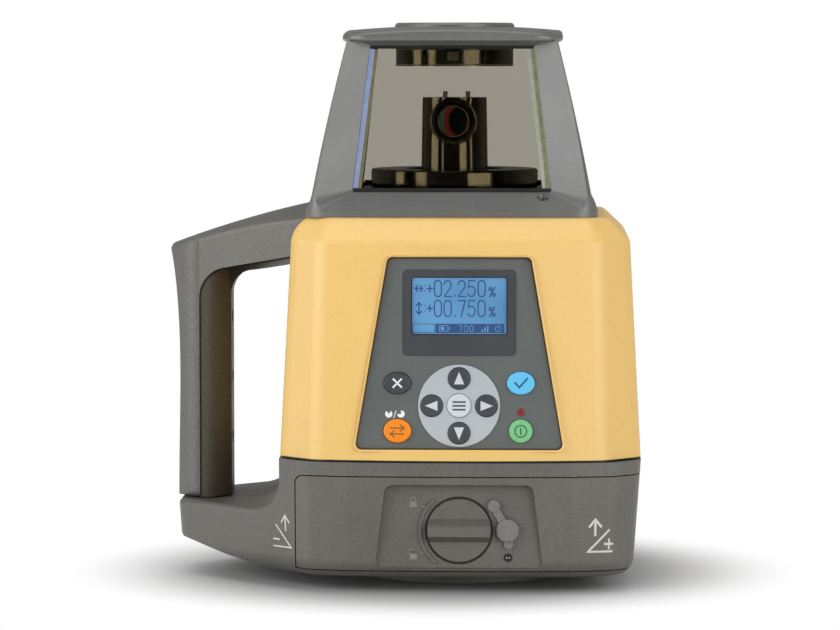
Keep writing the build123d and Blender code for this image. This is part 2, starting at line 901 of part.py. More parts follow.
with BuildPart() as upper_case:
    add(upper_skin)
    add(upper_hollow(), mode=Mode.SUBTRACT)
    add(panel_seat.part)
    add(upper_bosses.part)
    with BuildSketch(panel_plane.offset(-panel_t)):
        add(panel_outline(seat))
    extrude(amount=panel_t + panel_sink + wall, mode=Mode.SUBTRACT)
    with BuildSketch(panel_plane.offset(-4 * panel_seat_t)):
        add(panel_outline(-panel_ledge))
    extrude(amount=4 * panel_seat_t, mode=Mode.SUBTRACT)
    with BuildSketch(Plane.XY.offset(deck_z)):
        with Locations((beacon_x, 0)):
            Circle(deck_hole_r)
    extrude(amount=-2 * wall, mode=Mode.SUBTRACT)
    with BuildSketch(Plane.XY.offset(split_z)):
        with Locations(*case_screw_places):
            Circle(case_screw_r)
    extrude(amount=case_screw_seat_z + case_screw_length + play - split_z, mode=Mode.SUBTRACT)
    with BuildSketch(Plane.XY.offset(deck_z)):
        with Locations(*sill_screw_places):
            Circle(screw_r)
    extrude(amount=-screw_length * 0.7, mode=Mode.SUBTRACT)
    add(outer_skin.part, mode=Mode.SUBTRACT)
    add(inner_skin.part, mode=Mode.SUBTRACT)
upper_case.part.label = "upper_case"
export_step(upper_case.part, "parts/upper_case.step")

# Base case: shell with its arm, battery bay, tripod boss and screw posts
base_skin = base_block(0, plate_h)
with BuildPart() as bay:
    add(slab(bay_left, 2 * case_half, -2 * case_front, bay_rear, bay_floor, bay_top))
    bay_corner = (bay_left, -case_front, bay_top)
    fillet(bay.edges().filter_by(Axis.Y).sort_by_distance(bay_corner)[0], box_corner_r)
bay_walls = slab(bay_left - wall, 2 * case_half, -2 * case_front, bay_rear + wall, 0, bay_top + wall)

with BuildPart() as base_hollow:
    add(base_block(wall, bay_floor))
    add(bay_walls, mode=Mode.SUBTRACT)

with BuildPart() as base_bosses:
    with BuildSketch(Plane.XY.offset(plate_h)):
        Circle(boss_r)
    extrude(amount=boss_h - plate_h)
    with BuildSketch(Plane.XY.offset(plate_h)):
        with Locations(*[(x, y) for x, y in case_screw_places if y > 0]):
            Circle(case_boss_r)
    extrude(amount=base_top - plate_h)
    with BuildSketch(Plane.XY.offset(bay_top)):
        with Locations(*[(x, y) for x, y in case_screw_places if y < 0]):
            Circle(case_boss_r)
    extrude(amount=base_top - bay_top)
    add(base_skin, mode=Mode.INTERSECT)

with BuildPart() as base_case:
    add(base_skin)
    add(base_hollow.part, mode=Mode.SUBTRACT)
    add(bay.part, mode=Mode.SUBTRACT)
    add(base_bosses.part)
    with BuildSketch(Plane.XY):
        Circle(insert_r)
    extrude(amount=insert_h, mode=Mode.SUBTRACT)
    with BuildSketch(Plane.XY.offset(case_screw_seat_z)):
        with Locations(*case_screw_places):
            Circle(case_screw_r + seat)
    extrude(amount=base_top - case_screw_seat_z, mode=Mode.SUBTRACT)
    with BuildSketch(Plane.XY):
        with Locations(*[(x, y) for x, y in case_screw_places if y > 0]):
            Circle(case_screw_head_r + play)
    extrude(amount=case_screw_seat_z, mode=Mode.SUBTRACT)
    with BuildSketch(Plane.XY.offset(bay_top)):
        with Locations(*[(x, y) for x, y in case_screw_places if y < 0]):
            Circle(case_screw_head_r + play)
    extrude(amount=case_screw_seat_z - bay_top, mode=Mode.SUBTRACT)
base_case.part.label = "base_case"
export_step(base_case.part, "parts/base_case.step")

with BuildPart() as case_seal:
    with BuildSketch(Plane.XY.offset(base_top)):
        add(case_plan(seal_inset, corner_r))
        add(case_plan(seal_inset + seal_w, corner_r), mode=Mode.SUBTRACT)
    extrude(amount=seal_h)
case_seal.part.label = "case_seal"
export_step(case_seal.part, "parts/case_seal.step")

with BuildPart() as case_screws:
    with BuildSketch(Plane.XY.offset(case_screw_seat_z)):
        with Locations(*case_screw_places):
            Circle(case_screw_head_r)
    extrude(amount=-case_screw_head_h)
    with BuildSketch(Plane.XY.offset(case_screw_seat_z)):
        with Locations(*case_screw_places):
            Circle(case_screw_r)
    extrude(amount=case_screw_length)
case_screws.part.label = "case_screws"
export_step(case_screws.part, "parts/case_screws.step")

# Tripod plate, held to the base by the flange of the thread insert
with BuildPart() as tripod_plate:
    with BuildSketch():
        Circle(plate_r)
        Circle(insert_r, mode=Mode.SUBTRACT)
    extrude(amount=plate_h)
    fillet(tripod_plate.edges().filter_by(GeomType.CIRCLE).sort_by(SortBy.RADIUS)[-2:], plate_edge_r)
    with BuildSketch():
        Circle(insert_flange_r)
    extrude(amount=insert_flange_h, mode=Mode.SUBTRACT)
tripod_plate.part.label = "tripod_plate"
export_step(tripod_plate.part, "parts/tripod_plate.step")

with BuildPart() as thread_insert:
    with BuildSketch():
        Circle(insert_r)
    extrude(amount=insert_h)
    with BuildSketch():
        Circle(insert_flange_r)
    extrude(amount=insert_flange_h)
    with BuildSketch():
        Circle(thread_r)
    extrude(amount=thread_depth, mode=Mode.SUBTRACT)
thread_insert.part.label = "thread_insert"
export_step(thread_insert.part, "parts/thread_insert.step")

# Battery box: open-topped tray whose front is the base's front, with a sunk field for the lock and the jack
with BuildPart() as box_hollow:
    add(base_block(box_wall, plate_h + box_wall))
    add(
        slab(
            bay_left + gap + box_wall, 2 * case_half, box_inner_front, box_inner_rear, box_floor, base_top
        ),
        mode=Mode.INTERSECT,
    )

with BuildPart() as recess:
    with BuildSketch(Plane.XZ.offset(-recess_y)) as field:
        with BuildLine():
            Polyline(
                (-recess_half_bottom, recess_bottom),
                (recess_half_bottom, recess_bottom),
                (recess_half_top, recess_top),
                (-recess_half_top, recess_top),
                close=True,
            )
        make_face()
        fillet(field.vertices().group_by(Axis.Z)[-1], panel_corner_r)
    extrude(amount=case_front, taper=-recess_draft)

box_left, box_top = bay_left + gap, bay_top - gap
with BuildPart() as box_block:
    add(slab(box_left, 2 * case_half, -2 * case_front, bay_rear - gap, bay_floor + gap, box_top))
    box_corner = (box_left, -case_front, box_top)
    fillet(box_block.edges().filter_by(Axis.Y).sort_by_distance(box_corner)[0], box_corner_r - gap)

with BuildPart() as battery_box:
    add(base_skin)
    add(box_block.part, mode=Mode.INTERSECT)
    add(box_hollow.part, mode=Mode.SUBTRACT)
    add(recess.part, mode=Mode.SUBTRACT)
    with BuildSketch(Plane.XZ.offset(-recess_y)):
        with BuildLine() as ridge_line:
            CenterArc((0, dial_z), ridge_r, 130, 105)
        trace(ridge_line.line, ridge_w)
    extrude(amount=ridge_h)
    with BuildSketch(Plane.XZ.offset(-recess_y)):
        with Locations((0, dial_z)):
            Circle(dial_r + dial_ring)
    extrude(amount=-dial_sink, mode=Mode.SUBTRACT)
    with BuildSketch(Plane.XZ.offset(-recess_y)):
        with Locations((0, dial_z)):
            Circle(dial_shaft_r + run)
        with Locations((jack_x, jack_z)):
            Circle(jack_r)
    extrude(amount=-2 * box_skin, mode=Mode.SUBTRACT)
battery_box.part.label = "battery_box"
export_step(battery_box.part, "parts/battery_box.step")

cell_xs = [(i - (cell_count - 1) / 2) * cell_pitch for i in range(cell_count)]

with BuildPart() as battery_cells:
    with BuildSketch(Plane.XZ.offset(-cell_front)):
        with Locations(*[(x, cell_z) for x in cell_xs]):
            Circle(cell_r)
    extrude(amount=-cell_length)
battery_cells.part.label = "battery_cells"
export_step(battery_cells.part, "parts/battery_cells.step")

contact_half = cell_pitch * cell_count / 2
with BuildPart() as battery_contacts:
    add(slab(-contact_half, contact_half, cell_front - contact_t, cell_front, box_floor, cell_z + cell_r))
    add(
        slab(
            -contact_half,
            contact_half,
            cell_front + cell_length,
            cell_front + cell_length + contact_t,
            box_floor,
            cell_z + cell_r,
        )
    )
battery_contacts.part.label = "battery_contacts"
export_step(battery_contacts.part, "parts/battery_contacts.step")

# Lock dial with its grip bar, and the cam on the inner end of its shaft
with BuildPart() as lock_dial:
    with BuildSketch(Plane.XZ.offset(-dial_back)):
        with Locations((0, dial_z)):
            Circle(dial_r)
    extrude(amount=dial_back - dial_face)
    fillet(lock_dial.edges().group_by(Axis.Y)[0], dial_ring)
    with BuildSketch(Plane.YZ):
        with BuildLine():
            Polyline(
                (dial_face, dial_z - bar_foot / 2),
                (dial_face - bar_h, dial_z - bar_face / 2),
                (dial_face - bar_h, dial_z + bar_face / 2),
                (dial_face, dial_z + bar_foot / 2),
                close=True,
            )
        make_face()
    extrude(amount=bar_length / 2, both=True)
    with BuildSketch(Plane.XZ.offset(-dial_face)):
        with Locations((-dial_r * 0.59, dial_z + dial_r * 0.59)):
            Circle(ridge_w * 0.6)
    extrude(amount=ridge_h * 0.4)
    with BuildSketch(Plane.XZ.offset(-dial_back)):
        with Locations((0, dial_z)):
            Circle(dial_shaft_r)
    extrude(amount=-(cam_front + cam_t - dial_back))
lock_dial.part.label = "lock_dial"
export_step(lock_dial.part, "parts/lock_dial.step")

with BuildPart() as lock_cam:
    with BuildSketch(Plane.XZ.offset(-cam_front)):
        with Locations((0, dial_z)):
            Circle(dial_shaft_r * 2)
        with Locations((0, dial_z + cam_reach / 2 - cam_w / 4)):
            Rectangle(cam_w, cam_reach - cam_w / 2)
        with Locations((0, dial_z + cam_reach - cam_w / 2)):
            Circle(cam_w / 2)
        with Locations((0, dial_z)):
            Circle(dial_shaft_r, mode=Mode.SUBTRACT)
    extrude(amount=-cam_t)
lock_cam.part.label = "lock_cam"
export_step(lock_cam.part, "parts/lock_cam.step")

# Charge jack and its rubber cap on a strap
strap_deg = 90 - degrees(atan2(anchor_x - jack_x, anchor_z - jack_z))

with BuildPart() as charge_jack:
    with BuildSketch(Plane.XZ.offset(-recess_y)):
        with Locations((jack_x, jack_z)):
            Circle(jack_r)
    extrude(amount=-jack_length)
    with BuildSketch(Plane.XZ.offset(-recess_y)):
        with Locations((jack_x, jack_z)):
            Circle(jack_hole_r)
            Circle(jack_hole_r / 4, mode=Mode.SUBTRACT)
    extrude(amount=-jack_length * 0.75, mode=Mode.SUBTRACT)
    with BuildSketch(Plane.XZ.offset(-recess_y)):
        with Locations((jack_x, jack_z)):
            Circle(jack_hole_r)
    extrude(amount=-jack_length * 0.4, mode=Mode.SUBTRACT)
charge_jack.part.label = "charge_jack"
export_step(charge_jack.part, "parts/charge_jack.step")

with BuildPart() as jack_cap:
    with BuildSketch(Plane.XZ.offset(-cap_back)):
        with Locations((jack_x, jack_z)):
            Circle(cap_r)
    extrude(amount=cap_t)
    fillet(jack_cap.edges().group_by(Axis.Y)[0], cap_t * 0.3)
    with BuildSketch(Plane.XZ.offset(-cap_back)):
        with Locations((anchor_x, anchor_z)):
            Circle(anchor_r)
    extrude(amount=anchor_t)
    with BuildSketch(Plane.XZ.offset(-cap_back)):
        with Locations(Location(((anchor_x + jack_x) / 2, (anchor_z + jack_z) / 2), strap_deg)):
            Rectangle(hypot(anchor_x - jack_x, anchor_z - jack_z), strap_w)
        with Locations((jack_x + tab_x, jack_z - cap_r - tab_r * 0.5)):
            Circle(tab_r)
    extrude(amount=anchor_t * 0.75)
    with BuildSketch(Plane.XZ.offset(-cap_back)):
        with Locations((jack_x, jack_z)):
            Circle(plug_r)
    extrude(amount=-plug_h)
jack_cap.part.label = "jack_cap"
export_step(jack_cap.part, "parts/jack_cap.step")

# Control panel
with BuildPart() as panel_plate:
    with BuildSketch(panel_plane):
        add(panel_outline(0))
    extrude(amount=-panel_t)
    with BuildSketch(panel_plane):
        with Locations((0, ring_v)):
            Circle(ring_r + seat)
    extrude(amount=-ring_sink, mode=Mode.SUBTRACT)
    with BuildSketch(panel_plane):
        with Locations((0, display_mid)):
            RectangleRounded(2 * (display_half + seat), display_h + 2 * seat, display_corner_r)
    extrude(amount=-display_sink, mode=Mode.SUBTRACT)
    with BuildSketch(panel_plane):
        with Locations((0, screen_mid)):
            Rectangle(
                2 * (screen_half + module_lap + seat), screen_h + 2 * (module_lap + seat)
            )
        for x, v, rx, ry in keys.values():
            with Locations((x, v)):
                Ellipse(rx + play, ry + play)
        with Locations((lamp_x, lamp_v)):
            Circle(lamp_r + seat)
    extrude(amount=-2 * panel_t, mode=Mode.SUBTRACT)
    with BuildSketch(panel_plane.offset(-panel_t)):
        with Locations(*standoff_places):
            Circle(standoff_r)
    extrude(amount=board_w + panel_t)
panel_plate.part.label = "panel_plate"
export_step(panel_plate.part, "parts/panel_plate.step")

with BuildPart() as key_ring:
    with BuildSketch(panel_plane.offset(-ring_sink)):
        with Locations((0, ring_v)):
            Circle(ring_r)
        for x, v, rx, ry in list(keys.values())[:5]:
            with Locations((x, v)):
                Circle(rx + play, mode=Mode.SUBTRACT)
    extrude(amount=ring_sink + ring_proud)
key_ring.part.label = "key_ring"
export_step(key_ring.part, "parts/key_ring.step")

for key_name, (x, v, rx, ry) in keys.items():
    with BuildPart() as key:
        with BuildSketch(panel_plane.offset(key_back)):
            with Locations((x, v)):
                Ellipse(rx, ry)
        extrude(amount=key_proud - key_back)
        fillet(key.edges().group_by(Axis.Y)[0], key_edge_r)
        with BuildSketch(panel_plane.offset(key_back)):
            with Locations((x, v)):
                Ellipse(rx + key_flange, ry + key_flange)
        extrude(amount=-key_flange_t)
    key.part.label = key_name
    export_step(key.part, f"parts/{key_name}.step")

with BuildPart() as display_frame:
    with BuildSketch(panel_plane.offset(-display_sink)):
        with Locations((0, display_mid)):
            RectangleRounded(2 * display_half, display_h, display_corner_r)
        with Locations((0, screen_mid)):
            RectangleRounded(2 * screen_half, screen_h, display_corner_r / 2, mode=Mode.SUBTRACT)
    extrude(amount=display_sink + display_proud)
display_frame.part.label = "display_frame"
export_step(display_frame.part, "parts/display_frame.step")

with BuildPart() as display_module:
    with BuildSketch(panel_plane.offset(-display_sink)):
        with Locations((0, screen_mid)):
            Rectangle(2 * (screen_half + module_lap), screen_h + 2 * module_lap)
    extrude(amount=-2 * panel_t)
display_module.part.label = "display_module"
export_step(display_module.part, "parts/display_module.step")

with BuildPart() as status_lamp:
    with BuildSketch(panel_plane.offset(board_w)):
        with Locations((lamp_x, lamp_v)):
            Circle(lamp_r)
    extrude(amount=ring_proud - board_w)
    fillet(status_lamp.edges().group_by(Axis.Y)[0], lamp_r * 0.3)
status_lamp.part.label = "status_lamp"
export_step(status_lamp.part, "parts/status_lamp.step")

with BuildPart() as panel_board:
    with BuildSketch(panel_plane.offset(board_w)):
        add(panel_outline(-panel_ledge - 1))
    extrude(amount=-board_t)
panel_board.part.label = "panel_board"
export_step(panel_board.part, "parts/panel_board.step")

# Beacon: four-post frame with leaning panes
beacon_axis = Location((beacon_x, 0, 0))
lean = hypot(glass_lean, glass_head_z - glass_foot_z)
up_y = glass_lean / lean
up_z = (glass_head_z - glass_foot_z) / lean
glass_plane = Plane(origin=(0, -glass_foot, glass_foot_z), x_dir=(1, 0, 0), z_dir=(0, -up_z, up_y))


def glass_outline(foot, head, low, high, corner):
    """Trapezoid in the plane of one pane, with its lower corners rounded."""
    with BuildSketch() as face:
        with BuildLine():
            Polyline((-foot, low), (foot, low), (head, high), (-head, high), close=True)
        make_face()
        if corner:
            fillet(face.vertices().group_by(Axis.Y)[0], corner)
    return face.sketch


with BuildPart() as window:
    outer_foot, outer_head = glass_half_foot + reveal_foot, glass_half_head + reveal_head
    with BuildSketch(glass_plane):
        add(glass_outline(glass_half_foot, glass_half_head, 0, lean, sill_edge_r))
    with BuildSketch(glass_plane.offset(reveal)):
        add(glass_outline(outer_foot, outer_head, -sill_drop, lean + rail_rise, sill_corner_r))
    loft(ruled=True)
    with BuildSketch(glass_plane):
        add(glass_outline(glass_half_foot, glass_half_head, 0, lean, 0))
    extrude(amount=-2 * glass_t)

with BuildPart() as cage_hollow:
    foot_half = glass_foot - glass_t / up_z
    head_half = glass_top - glass_t / up_z
    with BuildSketch(Plane.XY.offset(glass_foot_z)):
        Rectangle(2 * foot_half, 2 * foot_half)
    with BuildSketch(Plane.XY.offset(glass_head_z)):
        Rectangle(2 * head_half, 2 * head_half)
    loft(ruled=True)
    with BuildSketch(Plane.XY.offset(glass_foot_z)):
        Rectangle(2 * foot_half, 2 * foot_half)
    extrude(amount=deck_z - glass_foot_z)
    with BuildSketch(Plane.XY.offset(glass_head_z)):
        Rectangle(2 * head_half, 2 * head_half)
    extrude(amount=cage_top - glass_head_z)

with BuildPart() as frame_solid:
    for z, half in cage_halves:
        with BuildSketch(Plane.XY.offset(z)):
            RectangleRounded(2 * half, 2 * half, cage_r)
    loft()
    with BuildSketch(Plane.XY.offset(deck_z)):
        RectangleRounded(2 * lip_half, 2 * lip_half, lip_r)
    extrude(amount=lip_top - deck_z)
    add(cage_hollow.part, mode=Mode.SUBTRACT)
    for turn in range(4):
        add(Rot(0, 0, 90 * turn) * window.part, mode=Mode.SUBTRACT)
    for turn in range(4):
        with Locations(Rot(0, 0, 90 * turn) * Pos(sill_screw_x, sill_screw_y, sill_head_z)):
            Cylinder(
                screw_head_r + play,
                2 * screw_head_h,
                align=(Align.CENTER, Align.CENTER, Align.MIN),
                mode=Mode.SUBTRACT,
            )
            Cylinder(
                screw_r, screw_length, align=(Align.CENTER, Align.CENTER, Align.MAX), mode=Mode.SUBTRACT
            )
        with Locations(Rot(0, 0, 90 * turn) * Pos(cap_screw_half, cap_screw_half, cap_head_z)):
            Cylinder(
                screw_r, screw_length, align=(Align.CENTER, Align.CENTER, Align.MAX), mode=Mode.SUBTRACT
            )

with BuildPart() as beacon_frame:
    add(beacon_axis * frame_solid.part)
beacon_frame.part.label = "beacon_frame"
export_step(beacon_frame.part, "parts/beacon_frame.step")

with BuildPart() as pane:
    with BuildSketch(glass_plane):
        add(glass_outline(glass_half_foot, glass_half_head, 0, lean, 0))
    extrude(amount=-glass_t)

for turn, pane_name in enumerate(("glass_front", "glass_right", "glass_rear", "glass_left")):
    with BuildPart() as one_pane:
        add(beacon_axis * Rot(0, 0, 90 * turn) * pane.part)
    one_pane.part.label = pane_name
    export_step(one_pane.part, f"parts/{pane_name}.step")

with BuildPart() as top_cap:
    with BuildSketch(Plane.XY.offset(cage_top)):
        with Locations((beacon_x, 0)):
            RectangleRounded(2 * cap_half, 2 * cap_half, cap_corner_r)
    extrude(amount=crown_z - cage_top)
    with Locations((beacon_x, 0, crown_z - crown_r)):
        Sphere(crown_r, mode=Mode.INTERSECT)
    rim = top_cap.edges().filter_by(lambda edge: edge.bounding_box().min.Z > cage_top + cap_rim_r)
    fillet(rim, cap_edge_r)
    fillet(top_cap.edges().group_by(Axis.Z)[0], cap_rim_r)
    with BuildSketch(Plane.XY.offset(cap_edge_z - disc_bed)):
        with Locations((beacon_x, 0)):
            Circle(disc_r)
    extrude(amount=disc_h + disc_bed)
    chamfer(top_cap.edges().group_by(Axis.Z)[-1], disc_edge)
    for turn in range(4):
        corner = Pos(cap_screw_half, cap_screw_half, cap_head_z)
        with Locations(beacon_axis * Rot(0, 0, 90 * turn) * corner):
            Cylinder(
                screw_head_r + play,
                2 * screw_head_h,
                align=(Align.CENTER, Align.CENTER, Align.MIN),
                mode=Mode.SUBTRACT,
            )
            Cylinder(
                screw_r + seat,
                screw_length,
                align=(Align.CENTER, Align.CENTER, Align.MAX),
                mode=Mode.SUBTRACT,
            )
top_cap.part.label = "top_cap"
export_step(top_cap.part, "parts/top_cap.step")

with BuildPart() as beacon_screws:
    for turn in range(4):
        for place in (
            Pos(sill_screw_x, sill_screw_y, sill_head_z),
            Pos(cap_screw_half, cap_screw_half, cap_head_z),
        ):
            with Locations(beacon_axis * Rot(0, 0, 90 * turn) * place):
                Cylinder(screw_head_r, screw_head_h, align=(Align.CENTER, Align.CENTER, Align.MIN))
                Cylinder(screw_r, screw_length, align=(Align.CENTER, Align.CENTER, Align.MAX))
beacon_screws.part.label = "beacon_screws"
export_step(beacon_screws.part, "parts/beacon_screws.step")

with BuildPart() as top_hub:
    with BuildSketch(Plane.XY.offset(hub_low)):
        with Locations((beacon_x, 0)):
            Circle(hub_r)
    extrude(amount=hub_high - hub_low)
    with BuildSketch(Plane.XY.offset(hub_high)):
        with Locations((beacon_x, 0)):
            Circle(hub_neck_r)
    extrude(amount=cage_top - hub_high)
    with Locations((beacon_x, -hub_r, (hub_low + hub_high) / 2)):
        Box(bracket_w, bracket_t, bracket_h)
top_hub.part.label = "top_hub"
export_step(top_hub.part, "parts/top_hub.step")

with BuildPart() as beacon_floor:
    with BuildSketch(Plane.XY.offset(deck_z)):
        with Locations((beacon_x, 0)):
            RectangleRounded(2 * floor_half, 2 * floor_half, lip_r)
    extrude(amount=floor_t)
    with BuildSketch(Plane.XY.offset(deck_z)):
        with Locations((beacon_x, 0)):
            Circle(drum_r)
    extrude(amount=drum_z - deck_z)
    fillet(beacon_floor.edges().group_by(Axis.Z)[-1], drum_edge_r)
    with BuildSketch(Plane.XY.offset(skirt_low)):
        with Locations((beacon_x, 0)):
            Circle(skirt_r)
    extrude(amount=skirt_h)
    with BuildSketch(Plane.XY.offset(deck_z)):
        with Locations((beacon_x, 0)):
            Circle(drum_r - drum_wall)
    extrude(amount=drum_z - drum_wall - deck_z, mode=Mode.SUBTRACT)
    with BuildSketch(Plane.XY.offset(deck_z)):
        with Locations((beacon_x, 0)):
            Circle(drum_hole_r)
    extrude(amount=drum_z, mode=Mode.SUBTRACT)
beacon_floor.part.label = "beacon_floor"
export_step(beacon_floor.part, "parts/beacon_floor.step")

# Tilting laser: chassis, gimbal ring, barrel, levelling steppers
with BuildPart() as chassis:
    add(slab(-chassis_half, chassis_half, -chassis_half, chassis_rear, chassis_z, chassis_top))
    for side in (-1, 1):
        with BuildSketch(Plane.YZ.offset(beacon_x + side * upright_in)):
            with Locations((0, (chassis_top + pivot_z) / 2)):
                Rectangle(upright_w, pivot_z - chassis_top)
            with Locations((0, pivot_z)):
                Circle(upright_w / 2)
            with Locations((0, pivot_z)):
                Circle(pin_r + run, mode=Mode.SUBTRACT)
        extrude(amount=side * upright_t)
    with BuildSketch(Plane.XY.offset(chassis_z)):
        with Locations((-leg_x, leg_front), (leg_x, leg_front)):
            Circle(leg_r)
    extrude(amount=bay_top + wall - chassis_z)
    with BuildSketch(Plane.XY.offset(chassis_z)):
        with Locations((-leg_x, leg_rear), (leg_x, leg_rear)):
            Circle(leg_r)
    extrude(amount=bay_floor - chassis_z)
chassis.part.label = "chassis"
export_step(chassis.part, "parts/chassis.step")

with BuildPart() as main_board:
    add(
        slab(
            -main_board_half,
            main_board_half,
            chassis_rear - 2 * board_t,
            chassis_rear - board_t,
            chassis_top,
            pivot_z,
        )
    )
main_board.part.label = "main_board"
export_step(main_board.part, "parts/main_board.step")

with BuildPart() as gimbal_ring:
    with BuildSketch(Plane.XY.offset(pivot_z - gimbal_h / 2)):
        with Locations((beacon_x, 0)):
            Circle(gimbal_out)
            Circle(gimbal_in, mode=Mode.SUBTRACT)
    extrude(amount=gimbal_h)
    with BuildSketch(Plane.XZ):
        with Locations((beacon_x, pivot_z)):
            Circle(pin_r + run)
    extrude(amount=2 * gimbal_out, both=True, mode=Mode.SUBTRACT)
    for side in (-1, 1):
        with BuildSketch(Plane.YZ.offset(beacon_x + side * (gimbal_out - pin_bed))):
            with Locations((0, pivot_z)):
                Circle(pin_r)
        extrude(amount=side * (pin_end - gimbal_out + 2 * pin_bed))
gimbal_ring.part.label = "gimbal_ring"
export_step(gimbal_ring.part, "parts/gimbal_ring.step")

with BuildPart() as laser_barrel:
    with BuildSketch(Plane.XY.offset(barrel_low)):
        with Locations((beacon_x, 0)):
            Circle(barrel_r)
    extrude(amount=housing_low - barrel_low)
    with BuildSketch(Plane.XY.offset(housing_low)):
        with Locations((beacon_x, 0)):
            Circle(housing_r)
    extrude(amount=housing_top - housing_low)
    with BuildSketch(Plane.XY.offset(housing_top)):
        with Locations((beacon_x, 0)):
            Circle(housing_r)
        with Locations((beacon_x, motor_y)):
            Circle(motor_r)
        make_hull()
    extrude(amount=flange_t)
    for side in (-1, 1):
        with BuildSketch(Plane.XZ.offset(-side * (housing_r - pin_bed))):
            with Locations((beacon_x, pivot_z)):
                Circle(pin_r)
        extrude(amount=-side * (gimbal_out - housing_r))
    with BuildSketch(Plane.XY.offset(barrel_low)):
        with Locations((beacon_x, pad_reach / 2)):
            Rectangle(2 * pad_r, pad_reach)
        with Locations((beacon_x + pad_reach / 2, 0)):
            Rectangle(pad_reach, 2 * pad_r)
        with Locations((beacon_x, pad_reach), (beacon_x + pad_reach, 0)):
            Circle(pad_r)
    extrude(amount=pad_t)
    with BuildSketch(Plane.XY.offset(barrel_low)):
        with Locations((beacon_x, 0)):
            Circle(barrel_bore)
    extrude(amount=spindle_low - barrel_low, mode=Mode.SUBTRACT)
    with BuildSketch(Plane.XY.offset(spindle_low)):
        with Locations((beacon_x, 0)):
            Circle(bearing_r)
    extrude(amount=flange_top - spindle_low, mode=Mode.SUBTRACT)
    with BuildSketch(Plane.XY.offset(housing_top)):
        with Locations((beacon_x, motor_y)):
            Circle(motor_shaft_r + 1)
    extrude(amount=flange_t, mode=Mode.SUBTRACT)
laser_barrel.part.label = "laser_barrel"
export_step(laser_barrel.part, "parts/laser_barrel.step")

with BuildPart() as laser_module:
    with BuildSketch(Plane.XY.offset(module_low)):
        with Locations((beacon_x, 0)):
            Circle(module_r)
    extrude(amount=barrel_low - module_low)
    with BuildSketch(Plane.XY.offset(barrel_low - flange_t)):
        with Locations((beacon_x, 0)):
            Circle(barrel_r)
    extrude(amount=flange_t)
    with BuildSketch(Plane.XY.offset(barrel_low)):
        with Locations((beacon_x, 0)):
            Circle(module_r * 0.6)
    extrude(amount=pad_t * 2)
laser_module.part.label = "laser_module"
export_step(laser_module.part, "parts/laser_module.step")

with BuildPart() as collimator_lens:
    with BuildSketch(Plane.XY.offset(lens_z)):
        with Locations((beacon_x, 0)):
            Circle(barrel_bore)
    extrude(amount=lens_t)
collimator_lens.part.label = "collimator_lens"
export_step(collimator_lens.part, "parts/collimator_lens.step")

for axis_name, x, y in (("x", beacon_x, pad_reach), ("y", beacon_x + pad_reach, 0)):
    with BuildPart() as level_motor:
        with BuildSketch(Plane.XY.offset(chassis_top)):
            with Locations((x, y)):
                Circle(stepper_r)
        extrude(amount=stepper_h)
        with BuildSketch(Plane.XY.offset(chassis_top + stepper_floor)):
            with Locations((x, y)):
                Circle(plunger_r + seat)
        extrude(amount=stepper_h, mode=Mode.SUBTRACT)
    level_motor.part.label = f"level_motor_{axis_name}"
    export_step(level_motor.part, f"parts/level_motor_{axis_name}.step")

    with BuildPart() as level_plunger:
        with BuildSketch(Plane.XY.offset(plunger_low)):
            with Locations((x, y)):
                Circle(plunger_r)
        extrude(amount=tip_z - plunger_low)
        fillet(level_plunger.edges().group_by(Axis.Z)[-1], plunger_r * 0.8)
    level_plunger.part.label = f"level_plunger_{axis_name}"
    export_step(level_plunger.part, f"parts/level_plunger_{axis_name}.step")

# Rotor: spindle in two bearings, belt drive, turret with prism and lens
bearing_lows = (spindle_low + 2, housing_top - bearing_t - 0.5)
with BuildPart() as rotor_bearings:
    for z in bearing_lows:
        with BuildSketch(Plane.XY.offset(z)):
            with Locations((beacon_x, 0)):
                Circle(bearing_r)
                Circle(spindle_r + run, mode=Mode.SUBTRACT)
        extrude(amount=bearing_t)
rotor_bearings.part.label = "rotor_bearings"
export_step(rotor_bearings.part, "parts/rotor_bearings.step")

with BuildPart() as rotor_shaft:
    with BuildSketch(Plane.XY.offset(spindle_low + spindle_lift)):
        with Locations((beacon_x, 0)):
            Circle(spindle_r)
    extrude(amount=turret_low - spindle_low - spindle_lift)
    with BuildSketch(Plane.XY.offset(turret_low - spindle_flange_h)):
        with Locations((beacon_x, 0)):
            Circle(turret_r - spindle_flange_in)
    extrude(amount=spindle_flange_h)
    with BuildSketch(Plane.XY.offset(spindle_low)):
        with Locations((beacon_x, 0)):
            Circle(spindle_bore)
    extrude(amount=turret_low - spindle_low, mode=Mode.SUBTRACT)
rotor_shaft.part.label = "rotor_shaft"
export_step(rotor_shaft.part, "parts/rotor_shaft.step")

with BuildPart() as driven_pulley:
    with BuildSketch(Plane.XY.offset(pulley_low)):
        with Locations((beacon_x, 0)):
            Circle(pulley_r + belt_t)
            Circle(spindle_r, mode=Mode.SUBTRACT)
    extrude(amount=pulley_h)
    with BuildSketch(Plane.XY.offset(groove_low)):
        with Locations((beacon_x, 0)):
            Circle(pulley_r + 2 * belt_t)
            Circle(pulley_r, mode=Mode.SUBTRACT)
    extrude(amount=groove_high - groove_low, mode=Mode.SUBTRACT)
driven_pulley.part.label = "driven_pulley"
export_step(driven_pulley.part, "parts/driven_pulley.step")

